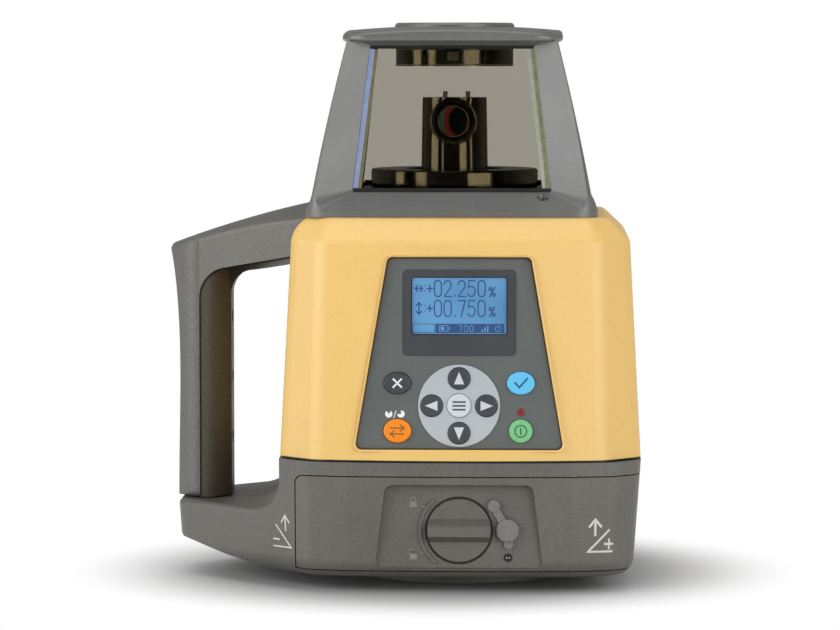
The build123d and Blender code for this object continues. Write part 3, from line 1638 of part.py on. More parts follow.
with BuildPart() as motor_pulley:
    with BuildSketch(Plane.XY.offset(pulley_low)):
        with Locations((beacon_x, motor_y)):
            Circle(small_pulley_r + belt_t)
    extrude(amount=pulley_h)
    with BuildSketch(Plane.XY.offset(groove_low)):
        with Locations((beacon_x, motor_y)):
            Circle(small_pulley_r + 2 * belt_t)
            Circle(small_pulley_r, mode=Mode.SUBTRACT)
    extrude(amount=groove_high - groove_low, mode=Mode.SUBTRACT)
    with BuildSketch(Plane.XY.offset(pulley_low)):
        with Locations((beacon_x, motor_y)):
            Circle(motor_shaft_r)
    extrude(amount=-(motor_h * 0.6))
motor_pulley.part.label = "motor_pulley"
export_step(motor_pulley.part, "parts/motor_pulley.step")

with BuildPart() as spin_motor:
    with BuildSketch(Plane.XY.offset(housing_top)):
        with Locations((beacon_x, motor_y)):
            Circle(motor_r)
    extrude(amount=-motor_h)
    with BuildSketch(Plane.XY.offset(housing_top)):
        with Locations((beacon_x, motor_y)):
            Circle(motor_shaft_r + run)
    extrude(amount=-motor_h * 0.7, mode=Mode.SUBTRACT)
spin_motor.part.label = "spin_motor"
export_step(spin_motor.part, "parts/spin_motor.step")

with BuildPart() as drive_belt:
    with BuildSketch(Plane.XY.offset(groove_low + play)):
        with Locations((beacon_x, 0)):
            Circle(pulley_r + belt_run + belt_t * 0.7)
        with Locations((beacon_x, motor_y)):
            Circle(small_pulley_r + belt_run + belt_t * 0.7)
        make_hull()
    extrude(amount=belt_h)
    with BuildSketch(Plane.XY.offset(groove_low + play)):
        with Locations((beacon_x, 0)):
            Circle(pulley_r + belt_run)
        with Locations((beacon_x, motor_y)):
            Circle(small_pulley_r + belt_run)
        make_hull()
    extrude(amount=belt_h, mode=Mode.SUBTRACT)
drive_belt.part.label = "drive_belt"
export_step(drive_belt.part, "parts/drive_belt.step")

with BuildPart() as rotor_housing:
    with BuildSketch(Plane.XY.offset(turret_low)):
        with Locations((beacon_x, 0)):
            Circle(turret_r)
    extrude(amount=turret_top - turret_low, taper=turret_taper)
    with BuildSketch(Plane.XZ):
        with Locations((beacon_x, beam_z)):
            Circle(snout_r)
    extrude(amount=snout_y)
    with BuildSketch(Plane.XY.offset(turret_top - 1)):
        with Locations(*[(beacon_x + x, 0) for x in stud_xs]):
            Circle(stud_r)
    extrude(amount=stud_h + 1)
    with BuildSketch(Plane.XY.offset(turret_low)):
        with Locations((beacon_x, 0)):
            Circle(spindle_bore)
    extrude(amount=prism_low - turret_low, mode=Mode.SUBTRACT)
    add(
        slab(
            beacon_x - prism_half - seat,
            beacon_x + prism_half + seat,
            -prism_leg / 2 - 1,
            prism_far - prism_leg / 2 + seat,
            prism_low,
            prism_low + prism_far + seat,
        ),
        mode=Mode.SUBTRACT,
    )
    with BuildSketch(Plane.XZ.offset(prism_leg / 2)):
        with Locations((beacon_x, beam_z)):
            Circle(lens_r)
    extrude(amount=snout_y, mode=Mode.SUBTRACT)
rotor_housing.part.label = "rotor_housing"
export_step(rotor_housing.part, "parts/rotor_housing.step")

with BuildPart() as lens_ring:
    with BuildSketch(Plane.XZ.offset(snout_y)):
        with Locations((beacon_x, beam_z)):
            Circle(snout_r)
    extrude(amount=ring_front - snout_y)
    fillet(lens_ring.edges().group_by(Axis.Y)[0], lens_ring_r)
    with BuildSketch(Plane.XZ.offset(snout_y)):
        with Locations((beacon_x, beam_z)):
            Circle(lens_r)
    extrude(amount=ring_front - snout_y, taper=-30, mode=Mode.SUBTRACT)
lens_ring.part.label = "lens_ring"
export_step(lens_ring.part, "parts/lens_ring.step")

with BuildPart() as exit_lens:
    with BuildSketch(Plane.XZ.offset(snout_y)):
        with Locations((beacon_x, beam_z)):
            Circle(lens_r)
    extrude(amount=-exit_lens_t)
exit_lens.part.label = "exit_lens"
export_step(exit_lens.part, "parts/exit_lens.step")

with BuildPart() as pentaprism:
    with BuildSketch(Plane.YZ.offset(beacon_x)):
        with BuildLine():
            Polyline(
                (-prism_leg / 2, prism_low),
                (prism_leg / 2, prism_low),
                (prism_far - prism_leg / 2, prism_low + prism_leg),
                (prism_leg / 2, prism_low + prism_far),
                (-prism_leg / 2, prism_low + prism_leg),
                close=True,
            )
        make_face()
    extrude(amount=prism_half, both=True)
pentaprism.part.label = "pentaprism"
export_step(pentaprism.part, "parts/pentaprism.step")
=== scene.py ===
# %% [markdown]
# # A rotary laser level, dressed for the camera
# The instrument stands on a tripod and sweeps a laser beam round a building site. Its solids come
# from a CAD model that is loaded here as a fixed frame. The script adds what a CAD file lacks:
# finishes, printed signs, the picture on the display, and the small relief that catches the light.

# %% Load the CAD frame
import json
from math import cos, radians, sin, tan

import bmesh
import bpy
import numpy as np
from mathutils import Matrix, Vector


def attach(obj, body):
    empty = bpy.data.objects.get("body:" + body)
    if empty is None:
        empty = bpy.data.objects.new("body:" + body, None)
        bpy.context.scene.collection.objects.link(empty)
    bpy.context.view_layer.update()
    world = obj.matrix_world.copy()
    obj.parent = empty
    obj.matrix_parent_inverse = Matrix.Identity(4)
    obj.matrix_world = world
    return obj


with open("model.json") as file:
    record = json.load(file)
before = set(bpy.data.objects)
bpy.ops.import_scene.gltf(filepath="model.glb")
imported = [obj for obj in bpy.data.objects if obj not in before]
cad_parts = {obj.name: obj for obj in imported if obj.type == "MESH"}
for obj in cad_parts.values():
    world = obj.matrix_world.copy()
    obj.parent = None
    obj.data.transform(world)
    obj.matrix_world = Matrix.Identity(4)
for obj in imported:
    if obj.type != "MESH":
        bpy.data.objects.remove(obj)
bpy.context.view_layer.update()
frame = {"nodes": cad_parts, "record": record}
nodes = frame["nodes"]
MM = 0.001

# %% [markdown]
# ## Camera
# The level was photographed nearly straight on, from under two metres and level with its glass head.
# A long lens from that far keeps the uprights nearly parallel. The camera is placed and turned from
# measured points, because a constraint would be one more thing to evaluate.

# %% Place the camera
camera_data = bpy.data.cameras.new("studio_camera")
camera_data.lens = 162.3
camera_data.sensor_width = 36.0
camera = bpy.data.objects.new("studio_camera", camera_data)
bpy.context.scene.collection.objects.link(camera)
camera.location = (0.037, -1.750, 0.241)
camera_aim = Vector((-0.020, 0.0, 0.1185))
camera.rotation_euler = (camera_aim - camera.location).to_track_quat("-Z", "Y").to_euler()
bpy.context.scene.camera = camera
print(f"camera {(camera_aim - camera.location).length:.3f} m from its aim, {camera_data.lens} mm lens")

# %% [markdown]
# ## Helpers for surfaces
# Every new piece is a grid of points worked out with numpy. One helper gives the faces of a grid,
# another joins several grids, and a third makes the mesh. Most pieces are thin relief on a surface
# that the CAD model already has, so they are drawn flat, and a placing function lifts them into space.

# %% Grids and meshes
MERGE_M = 1e-7


def grid_faces(rows, columns, closed_rows=False, closed_columns=False):
    """Quads of a grid of rows x columns points, numbered row by row: each joins a point to the next
    in its row and to the two below; a closed direction wraps round to its start."""
    r = np.arange(rows if closed_rows else rows - 1)
    c = np.arange(columns if closed_columns else columns - 1)
    r, c = np.meshgrid(r, c, indexing="ij")
    r2, c2 = (r + 1) % rows, (c + 1) % columns
    quads = np.stack([r * columns + c, r * columns + c2, r2 * columns + c2, r2 * columns + c], -1)
    return quads.reshape(-1, 4)


def join_parts(parts):
    """One array of points and one of faces from several: face numbers move up by the points before them."""
    starts = np.cumsum([0] + [len(points) for points, _ in parts[:-1]])
    points = np.concatenate([points for points, _ in parts])
    faces = np.concatenate([faces + start for (_, faces), start in zip(parts, starts)])
    return points, faces


def add_piece(name, points, faces, finish, body, slot):
    """Mesh object at the origin from points in metres; it takes a finish and rides on a CAD body."""
    mesh = bpy.data.meshes.new(name)
    mesh.from_pydata(points.tolist(), [], faces.tolist())
    work = bmesh.new()
    work.from_mesh(mesh)
    bmesh.ops.remove_doubles(work, verts=work.verts, dist=MERGE_M)
    bmesh.ops.recalc_face_normals(work, faces=work.faces)
    work.to_mesh(mesh)
    work.free()
    mesh.materials.append(finish)
    piece = bpy.data.objects.new(name, mesh)
    bpy.context.scene.collection.objects.link(piece)
    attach(piece, body)


print("surface helpers ready")

# %% [markdown]
# ## Helpers for shader nodes
# The floor, the room and every finish are trees of shader nodes. In the node editor each wire is drawn
# by hand, and in a script each would be a line. These helpers make a node with its settings and give
# its inputs a wire from another node or a plain value, so a tree reads from top to bottom.


# %% Nodes and wires
def add_node(tree, kind, inputs=None, **settings):
    """New node with its settings; an input that is given another node's output is wired, and else set."""
    node = tree.nodes.new(kind)
    for setting, value in settings.items():
        setattr(node, setting, value)
    for socket, value in (inputs or {}).items():
        if isinstance(value, bpy.types.NodeSocket):
            tree.links.new(value, node.inputs[socket])
        else:
            node.inputs[socket].default_value = value
    return node


def math_node(tree, operation, first, second):
    """Output of one operation on two values, such as ADD, MULTIPLY or MAXIMUM."""
    return add_node(tree, "ShaderNodeMath", {0: first, 1: second}, operation=operation).outputs[0]


def range_node(tree, value, low, high, to_low, to_high, curve="LINEAR"):
    """Output that maps low..high to to_low..to_high, clamped at both ends."""
    inputs = {"Value": value, "From Min": low, "From Max": high, "To Min": to_low, "To Max": to_high}
    return add_node(tree, "ShaderNodeMapRange", inputs, interpolation_type=curve).outputs["Result"]


def oval_reach(tree, place, middle, radii):
    """Output of a point's distance from a middle, counted in the radii of an oval: 1 is on the oval."""
    inputs = {"Vector": place, "Location": middle, "Scale": radii}
    oval = add_node(tree, "ShaderNodeMapping", inputs, vector_type="TEXTURE").outputs["Vector"]
    return add_node(tree, "ShaderNodeVectorMath", {0: oval}, operation="LENGTH").outputs["Value"]


print("node helpers ready")

# %% [markdown]
# ## Floor
# A product picture is taken on a white sweep of paper. The floor here is matt grey close to the level,
# where it takes the shadow, and is seen as plain white away from it. A photographer would light the
# paper more instead, but then more light would reach the level too, and its colours would wash out.

# %% White floor
FLOOR_HALF, FLOOR_POINTS = 3.0, 13
FLOOR_GREY = (0.5, 0.5, 0.5, 1.0)
OVAL_MIDDLE, OVAL_RADII = (-0.014, 0.0, 0.0), (0.128, 0.118, 1.0)
FADE_START, FADE_END = 0.72, 1.35

floor_paint = bpy.data.materials.new("white_sweep")
floor_paint.use_nodes = True
paper = floor_paint.node_tree
paper.nodes.clear()
paper_place = add_node(paper, "ShaderNodeTexCoord").outputs["Object"]
away = oval_reach(paper, paper_place, OVAL_MIDDLE, OVAL_RADII)
fade = range_node(paper, away, FADE_START, FADE_END, 0.0, 1.0, "SMOOTHSTEP")
floor_ray = add_node(paper, "ShaderNodeLightPath").outputs
seen_or_mirrored = math_node(paper, "MAXIMUM", floor_ray["Is Camera Ray"], floor_ray["Is Glossy Ray"])
seen_any_way = math_node(paper, "MAXIMUM", seen_or_mirrored, floor_ray["Is Transmission Ray"])
white_share = math_node(paper, "MULTIPLY", fade, seen_any_way)
matt = add_node(paper, "ShaderNodeBsdfDiffuse", {"Color": FLOOR_GREY}).outputs[0]
glow = add_node(paper, "ShaderNodeEmission").outputs[0]
floor_mix = add_node(paper, "ShaderNodeMixShader", {"Fac": white_share, 1: matt, 2: glow})
add_node(paper, "ShaderNodeOutputMaterial", {"Surface": floor_mix.outputs[0]})

ticks = np.linspace(-FLOOR_HALF, FLOOR_HALF, FLOOR_POINTS)
floor_points = np.stack(np.meshgrid(ticks, ticks, 0.0), -1).reshape(-1, 3)
floor_mesh = bpy.data.meshes.new("floor_sweep")
floor_mesh.from_pydata(floor_points.tolist(), [], grid_faces(FLOOR_POINTS, FLOOR_POINTS).tolist())
floor_mesh.materials.append(floor_paint)
floor = bpy.data.objects.new("floor_sweep", floor_mesh)
bpy.context.scene.collection.objects.link(floor)
print(f"floor fades to white round an oval of {OVAL_RADII[0] / MM:.0f} by {OVAL_RADII[1] / MM:.0f} mm")

# %% [markdown]
# ## Room
# The room is white where the camera sees it, straight or through the glass, and dim where it only
# lights, so the finishes come out about as they are written. A reflection sees a dark room in front of
# the level and a paler one behind it, as in a studio, where the photographer's side is dark.

# %% White room
WHITE = (1.0, 1.0, 1.0, 1.0)
ROOM_LIGHT, MIRROR_LIGHT = 0.3, 0.04
REAR_START, REAR_END, REAR_SHARE = -0.2, 0.5, 0.22

world = bpy.data.worlds.new("white_room")
bpy.context.scene.world = world
world.use_nodes = True
room = world.node_tree
room.nodes.clear()
room_ray = add_node(room, "ShaderNodeLightPath").outputs
heading = add_node(room, "ShaderNodeTexCoord").outputs["Generated"]
heading_y = add_node(room, "ShaderNodeSeparateXYZ", {0: heading}).outputs["Y"]
rear = range_node(room, heading_y, REAR_START, REAR_END, 0.0, REAR_SHARE, "SMOOTHSTEP")
mirrored = math_node(room, "MINIMUM", room_ray["Glossy Depth"], 1.0)
dim_light = range_node(room, mirrored, 0.0, 1.0, ROOM_LIGHT, MIRROR_LIGHT)
rear_mirrored = math_node(room, "MULTIPLY", rear, mirrored)
not_mirrored = math_node(room, "SUBTRACT", 1.0, mirrored)
through_glass = math_node(room, "MULTIPLY", not_mirrored, room_ray["Is Transmission Ray"])
seen_or_rear = math_node(room, "MAXIMUM", room_ray["Is Camera Ray"], rear_mirrored)
white_part = math_node(room, "MAXIMUM", seen_or_rear, through_glass)
dim = add_node(room, "ShaderNodeBackground", {"Color": WHITE, "Strength": dim_light}).outputs[0]
bright = add_node(room, "ShaderNodeBackground", {"Color": WHITE}).outputs[0]
room_mix = add_node(room, "ShaderNodeMixShader", {"Fac": white_part, 1: dim, 2: bright})
add_node(room, "ShaderNodeOutputWorld", {"Surface": room_mix.outputs[0]})
bpy.context.scene.view_settings.view_transform = "Standard"
print(f"room lights at {ROOM_LIGHT}, and at {MIRROR_LIGHT} in reflections")

# %% [markdown]
# ## Soft boxes
# Four wide lamps give soft edges to every shadow: two in front, the left one a little stronger, one
# above and one behind. A single lamp would leave one side black. The rear lamp would stand as a white
# sheet behind the beacon, so it is hidden from the camera, the glass and all gloss.


# %% Lamps
def soft_box(name, place, aim, width, height, power):
    """Rectangular lamp at a place, turned to an aim; all in metres and watts."""
    lamp_data = bpy.data.lights.new(name, "AREA")
    lamp_data.shape = "RECTANGLE"
    lamp_data.size, lamp_data.size_y = width, height
    lamp_data.energy = power
    lamp = bpy.data.objects.new(name, lamp_data)
    bpy.context.scene.collection.objects.link(lamp)
    lamp.location = place
    lamp.rotation_euler = (Vector(aim) - Vector(place)).to_track_quat("-Z", "Y").to_euler()
    return lamp


BODY_MIDDLE, BASE_MIDDLE = (0, 0, 0.14), (0, 0, 0.1)
soft_box("key_left", (-1.41, -0.75, 0.55), BODY_MIDDLE, 1.5, 1.1, 18.4)
soft_box("key_right", (1.07, -1.19, 0.5), BODY_MIDDLE, 1.4, 1.0, 15.2)
soft_box("top", (-0.1, 0.1, 1.6), BASE_MIDDLE, 1.3, 1.3, 8)
back_lamp = soft_box("back", (0.4, 1.5, 0.7), BODY_MIDDLE, 1.4, 1.0, 10)
back_lamp.visible_camera = False
back_lamp.visible_transmission = False
back_lamp.visible_glossy = False
print("four soft boxes")

# %% [markdown]
# ## Shared effects
# Moulded plastic is never one flat colour, and neither is turned metal. Both effects serve many finishes,
# so each is a node group with named inputs, built once and placed in each material with its own
# values. A group puts out a colour, a roughness and a height, which all change over the surface.

# %% Colours and groups
FLOAT, COLOR, VECTOR = "NodeSocketFloat", "NodeSocketColor", "NodeSocketVector"
EFFECT_OUTPUTS = {"Color": COLOR, "Roughness": FLOAT, "Height": FLOAT}


def srgb(red, green, blue):
    """Linear colour from display values of 0 to 255. Of c, a value's share of 255, it takes c / 12.92 where
    c is small, and else ((c + 0.055) / 1.055) ** 2.4."""
    c = np.array([red, green, blue]) / 255.0
    linear = np.where(c <= 0.04045, c / 12.92, ((c + 0.055) / 1.055) ** 2.4)
    return (*linear.tolist(), 1.0)


def new_group(name, inputs):
    """Shader node group with named inputs and a surface effect's outputs; returned with its inputs."""
    group = bpy.data.node_groups.new(name, "ShaderNodeTree")
    for label, kind in inputs.items():
        group.interface.new_socket(name=label, in_out="INPUT", socket_type=kind)
    for label, kind in EFFECT_OUTPUTS.items():
        group.interface.new_socket(name=label, in_out="OUTPUT", socket_type=kind)
    return group, add_node(group, "NodeGroupInput").outputs


def noise_node(tree, place, scale, detail):
    """Output of noise in space; scale is in waves per metre, because Object coordinates are metres."""
    inputs = {"Vector": place, "Scale": scale, "Detail": detail}
    return add_node(tree, "ShaderNodeTexNoise", inputs).outputs["Fac"]


def tinted_node(tree, color, shade):
    """Output of a colour times a shade."""
    return add_node(tree, "ShaderNodeVectorMath", {0: color, "Scale": shade}, operation="SCALE").outputs[0]


print("colour and group helpers ready")

# %% [markdown]
# ## Moulded grain
# The steel mould of a plastic case is etched, so the skin has a fine grain of pits, and its sheen drifts
# over a hand's breadth. Fine noise gives the specks of colour and, with round pits, the height. Coarse
# noise gives the drift of colour and sheen. An image of plastic would repeat, and noise never does.

# %% Group for moulded plastic
NOISE_LOW, NOISE_HIGH = 0.3, 0.7
DRIFT_SCALE, SHEEN_DRIFT = 45.0, 0.12

moulded_grain, grain_in = new_group(
    "moulded_grain", {"Vector": VECTOR, "Color": COLOR, "Grain": FLOAT, "Mottle": FLOAT, "Roughness": FLOAT}
)
fine = noise_node(moulded_grain, grain_in["Vector"], grain_in["Grain"], 2.0)
coarse = noise_node(moulded_grain, grain_in["Vector"], DRIFT_SCALE, 3.0)
pit_inputs = {"Vector": grain_in["Vector"], "Scale": grain_in["Grain"]}
pits = add_node(moulded_grain, "ShaderNodeTexVoronoi", pit_inputs).outputs["Distance"]
speck = range_node(moulded_grain, fine, NOISE_LOW, NOISE_HIGH, -1.0, 1.0)
drift = range_node(moulded_grain, coarse, NOISE_LOW, NOISE_HIGH, -0.5, 0.5)
speck_and_drift = math_node(moulded_grain, "ADD", speck, drift)
swing = math_node(moulded_grain, "MULTIPLY", speck_and_drift, grain_in["Mottle"])
grain_shade = math_node(moulded_grain, "ADD", swing, 1.0)
sheen = math_node(moulded_grain, "MULTIPLY", drift, SHEEN_DRIFT)
grain_effect = {
    "Color": tinted_node(moulded_grain, grain_in["Color"], grain_shade),
    "Roughness": math_node(moulded_grain, "ADD", grain_in["Roughness"], sheen),
    "Height": math_node(moulded_grain, "ADD", fine, pits),
}
add_node(moulded_grain, "NodeGroupOutput", grain_effect)
print(f"group {moulded_grain.name}: {len(moulded_grain.nodes)} nodes")

# %% [markdown]
# ## Turned metal
# A lathe or a drawing die leaves fine parallel lines. Noise that is squeezed far more along z than along
# x and y turns into such lines, and they vary the colour, the roughness and the height together. Real
# grooves would take millions of faces.

# %% Group for turned metal
turned_metal, metal_in = new_group(
    "turned_metal", {"Vector": VECTOR, "Color": COLOR, "Line Scale": VECTOR, "Roughness": FLOAT}
)
stretch = {0: metal_in["Vector"], 1: metal_in["Line Scale"]}
stretched = add_node(turned_metal, "ShaderNodeVectorMath", stretch, operation="MULTIPLY").outputs[0]
lines = noise_node(turned_metal, stretched, 1.0, 2.0)
metal_shade = range_node(turned_metal, lines, NOISE_LOW, NOISE_HIGH, 0.86, 1.1)
streak = range_node(turned_metal, lines, NOISE_LOW, NOISE_HIGH, -0.08, 0.08)
metal_effect = {
    "Color": tinted_node(turned_metal, metal_in["Color"], metal_shade),
    "Roughness": math_node(turned_metal, "ADD", metal_in["Roughness"], streak),
    "Height": lines,
}
add_node(turned_metal, "NodeGroupOutput", metal_effect)
print(f"group {turned_metal.name}: {len(turned_metal.nodes)} nodes")

# %% [markdown]
# ## Finishes
# Each finish is one Principled shader. What is the same all over is set on the shader itself, where an
# export can read it, and only grain, lines and colour drift come through nodes. The amber case, the grey
# base and the beacon have a stronger gloss, so their index of refraction is higher. The gloss of the
# black turret is bronze.

# %% How a finish is made
GRAIN_DEPTH, LINE_DEPTH, LINE_BUMP = 0.0002, 0.00005, 0.1


def new_finish(name, uniform):
    """Material with one Principled shader, whose own sockets take what is the same all over the surface;
    returns it, the shader and the output of Object coordinates."""
    finish = bpy.data.materials.new(name)
    finish.use_nodes = True
    tree = finish.node_tree
    tree.nodes.clear()
    shader = add_node(tree, "ShaderNodeBsdfPrincipled", uniform)
    add_node(tree, "ShaderNodeOutputMaterial", {"Surface": shader.outputs[0]})
    return finish, shader, add_node(tree, "ShaderNodeTexCoord").outputs["Object"]


def effect_finish(name, group, values, bump, depth, uniform):
    """Finish with a shared effect: its colour and roughness go to the shader, and its height to a bump."""
    finish, shader, place = new_finish(name, uniform)
    tree = finish.node_tree
    effect = add_node(tree, "ShaderNodeGroup", {"Vector": place, **values}, node_tree=group).outputs
    relief = {"Strength": bump, "Distance": depth, "Height": effect["Height"]}
    normal = add_node(tree, "ShaderNodeBump", relief).outputs["Normal"]
    tree.links.new(effect["Color"], shader.inputs["Base Color"])
    tree.links.new(effect["Roughness"], shader.inputs["Roughness"])
    tree.links.new(normal, shader.inputs["Normal"])
    return finish


def moulded(name, color, grain, mottle, roughness, bump, uniform=None):
    """Moulded plastic, rubber or print: a colour under an etched grain."""
    values = {"Color": srgb(*color), "Grain": grain, "Mottle": mottle, "Roughness": roughness}
    return effect_finish(name, moulded_grain, values, bump, GRAIN_DEPTH, uniform)


def metal(name, color, line_scale, roughness):
    """Bare metal with the marks of its turning or drawing."""
    values = {"Color": srgb(*color), "Line Scale": line_scale, "Roughness": roughness}
    return effect_finish(name, turned_metal, values, LINE_BUMP, LINE_DEPTH, {"Metallic": 1.0})


print("moulded and metal finishes can be made")

# %% Plastic and metal
BRONZE_GLOSS = {"IOR": 2.2, "Specular Tint": (1.0, 0.83, 0.5, 1.0)}
# Each row: display colour, grain in waves per metre, mottle, roughness, bump, uniform values
PLASTICS = {
    "amber_plastic": ((238, 197, 116), 1500, 0.03, 0.4, 0.1, {"IOR": 1.6}),
    "grey_plastic": ((95, 94, 88), 1100, 0.16, 0.44, 0.45, {"IOR": 1.6}),
    # grip_plastic is the handle's grey plastic, made darker and browner: painted shade of the hollow grip
    # and a painted reflection of the amber case
    "grip_plastic": ((74, 69, 60), 1100, 0.16, 0.46, 0.45),
    "beacon_plastic": ((101, 102, 99), 1300, 0.1, 0.36, 0.25, {"IOR": 1.65}),
    "panel_film": ((94, 99, 97), 1600, 0.06, 0.5, 0.2),
    "bezel_plastic": ((64, 65, 70), 1600, 0.05, 0.4, 0.08),
    "ring_plastic": ((182, 188, 193), 1600, 0.03, 0.42, 0.08),
    "black_plastic": ((11, 9, 6), 900, 0.1, 0.12, 0.015, BRONZE_GLOSS),
    "dark_key": ((62, 66, 70), 1600, 0.06, 0.45, 0.12),
    "white_key": ((210, 215, 220), 1600, 0.03, 0.42, 0.1),
    "blue_key": ((98, 196, 240), 1600, 0.04, 0.42, 0.1),
    "orange_key": ((247, 139, 14), 1600, 0.04, 0.42, 0.1),
    "green_key": ((122, 194, 134), 1600, 0.04, 0.42, 0.1),
    "rubber": ((122, 121, 120), 1000, 0.12, 0.7, 0.4),
    "black_rubber": ((17, 15, 12), 1000, 0.12, 0.5, 0.3),
    "lamp_red": ((146, 38, 32), 900, 0.05, 0.2, 0.03, {"Coat Weight": 0.6, "Coat Roughness": 0.08}),
    "board": ((24, 84, 52), 800, 0.15, 0.45, 0.1),
    "cell_wrap": ((52, 58, 66), 700, 0.06, 0.3, 0.04, {"Coat Weight": 0.4, "Coat Roughness": 0.08}),
}
# Each row: display colour, waves per metre along x, y and z, roughness
METALS = {
    "steel": ((190, 190, 188), (400.0, 400.0, 9000.0), 0.3),
    "dark_steel": ((74, 73, 71), (400.0, 400.0, 9000.0), 0.36),
    "brass": ((206, 172, 100), (400.0, 400.0, 9000.0), 0.28),
    "aluminium": ((178, 180, 182), (300.0, 300.0, 7000.0), 0.38),
}
finishes = {name: moulded(name, *row) for name, row in PLASTICS.items()}
finishes |= {name: metal(name, *row) for name, row in METALS.items()}
print(f"{len(finishes)} moulded and metal finishes")

# %% [markdown]
# ## Glass, lens and display
# The panes are smoked glass, with a low index so that the lamps stand only faintly in them. The exit lens
# has coatings that shine in coloured rings. These rings are a painted reflection: a colour ramp over the
# distance from a point beside its middle. The display is two pale blues that drift slowly, under a fine
# grid of cells.

# %% Smoked glass and coated lens
smoke = {"Base Color": (0.56, 0.545, 0.5, 1.0), "Transmission Weight": 1.0, "Roughness": 0.0, "IOR": 1.18}
finishes["smoked_glass"] = new_finish("smoked_glass", smoke)[0]


def ramp_node(tree, share, stops):
    """Output of a colour ramp; the first two stops are the ramp's own, and the others are added."""
    node = add_node(tree, "ShaderNodeValToRGB", {"Fac": share})
    for number, (place, color) in enumerate(stops):
        if number < 2:
            stop = node.color_ramp.elements[number]
            stop.position = place
        else:
            stop = node.color_ramp.elements.new(place)
        stop.color = srgb(*color)
    return node.outputs["Color"]


# Painted reflection: the coloured rings of the coatings are painted into the lens's base colour
REFLECTION_MIDDLE, REFLECTION_RADII = (-0.0022, -0.02, 0.2085), (0.0087, 1.0, 0.0135)
COATING_REFLECTION_STOPS = [
    (0.0, (8, 9, 8)),
    (1.0, (30, 118, 92)),
    (0.44, (10, 14, 12)),
    (0.5, (120, 40, 24)),
    (0.74, (128, 56, 40)),
    (0.8, (34, 120, 92)),
]
coating = {"Roughness": 0.06, "Coat Weight": 0.6, "Coat Roughness": 0.02}
finishes["lens_glass"], lens_shader, lens_place = new_finish("lens_glass", coating)
lens_tree = finishes["lens_glass"].node_tree
lens_reach = oval_reach(lens_tree, lens_place, REFLECTION_MIDDLE, REFLECTION_RADII)
lens_tree.links.new(ramp_node(lens_tree, lens_reach, COATING_REFLECTION_STOPS), lens_shader.inputs["Base Color"])
print("smoked glass and coated lens")

# %% Display
CELLS_PER_METRE, CELL_GAP, GAP_SHADE, BLUE_DRIFT = 2500.0, 0.3, -0.06, 28.0
finishes["display"], screen_shader, screen_place = new_finish("display", {"Roughness": 0.3})
screen = finishes["display"].node_tree
cell_inputs = {0: screen_place, "Scale": CELLS_PER_METRE}
cells = add_node(screen, "ShaderNodeVectorMath", cell_inputs, operation="SCALE").outputs[0]
cell_part = add_node(screen, "ShaderNodeVectorMath", {0: cells}, operation="FRACTION").outputs[0]
cell_xyz = add_node(screen, "ShaderNodeSeparateXYZ", {0: cell_part}).outputs
cell_edge = math_node(screen, "MINIMUM", cell_xyz["X"], cell_xyz["Z"])
gap_shade = range_node(screen, cell_edge, 0.0, CELL_GAP, GAP_SHADE, 0.0)
blue_share = math_node(screen, "ADD", noise_node(screen, screen_place, BLUE_DRIFT, 1.0), gap_shade)
blues = ramp_node(screen, blue_share, [(0.3, (84, 138, 184)), (0.7, (108, 168, 214))])
screen.links.new(blues, screen_shader.inputs["Base Color"])
print(f"display with {CELLS_PER_METRE * MM} cells a millimetre")

# %% [markdown]
# ## Dress the CAD nodes
# The CAD record says which finish slot each node takes, so one table of finishes dresses the whole
# model. Each could be dressed by hand, but then a renamed node would go bare. The meshes stay as they are.

# %% Put the finishes on
for subpart in frame["record"]["subparts"]:
    node_mesh = nodes[subpart["node"]].data
    node_mesh.materials.clear()
    node_mesh.materials.append(finishes[subpart["material_slot"]])

# %% [markdown]
# ## Drawing signs
# The level's signs are print and low relief: arrowheads on keys, figures on the display, slope marks on
# the base. A font or an image could supply them. Here each is a stroke along a path or a filled
# outline, because a ridge with real edges catches the light and stays sharp at any distance.

# %% Strokes
RIDGE = ((-0.5, 0.0), (-0.42, 1.0), (0.42, 1.0), (0.5, 0.0))
LEAST_MITRE = 0.5


def stroke(path, width, height, closed=False, profile=RIDGE):
    """Profile carried along a flat path. Across the mitred normal at each path point stand four profile
    points, given as shares of the width and of the height: two on the surface and two above it. Open
    ends run half a width on."""
    path = np.array(path, float)
    if closed:
        after = np.roll(path, -1, 0) - path
        after /= np.linalg.norm(after, axis=1, keepdims=True)
        before = np.roll(after, 1, 0)
    else:
        step = np.diff(path, axis=0)
        step /= np.linalg.norm(step, axis=1, keepdims=True)
        path[0] -= step[0] * width / 2
        path[-1] += step[-1] * width / 2
        before, after = np.vstack([step[:1], step]), np.vstack([step, step[-1:]])
    along = before + after
    along /= np.linalg.norm(along, axis=1, keepdims=True)
    reach = 1 / np.clip((along * after).sum(1, keepdims=True), LEAST_MITRE, 1)
    across = np.stack([-along[:, 1], along[:, 0]], 1) * reach
    offsets, rises = np.array(profile).T * ((width,), (height,))
    flat = path[:, None] + across[:, None] * offsets[None, :, None]
    rise = np.broadcast_to(rises[None, :, None], (*flat.shape[:2], 1))
    points = np.concatenate([flat, rise], -1)
    if not closed:
        feet = points[[0, -1]] * (1, 1, 0)
        points = np.concatenate([feet[:1], points, feet[1:]])
    return points.reshape(-1, 3), grid_faces(len(points), len(profile), closed, True)


print(f"strokes have a profile of {len(RIDGE)} points")

# %% Filled shapes, circles and placing
INLAY_TOP, SINK = 0.97, 0.02


def inlay(outline, height):
    """Filled shape: rings from its middle on the surface out to the outline, up to the outline drawn in by
    three hundredths at the given height, and back to the middle."""
    outline = np.array(outline, float)
    middle = np.broadcast_to(outline.mean(0), outline.shape)
    rings = np.stack([middle, outline, middle + INLAY_TOP * (outline - middle), middle])
    rise = np.broadcast_to(np.array([0, 0, 1, 1])[:, None, None] * height, (4, len(outline), 1))
    return np.concatenate([rings, rise], -1).reshape(-1, 3), grid_faces(4, len(outline), False, True)


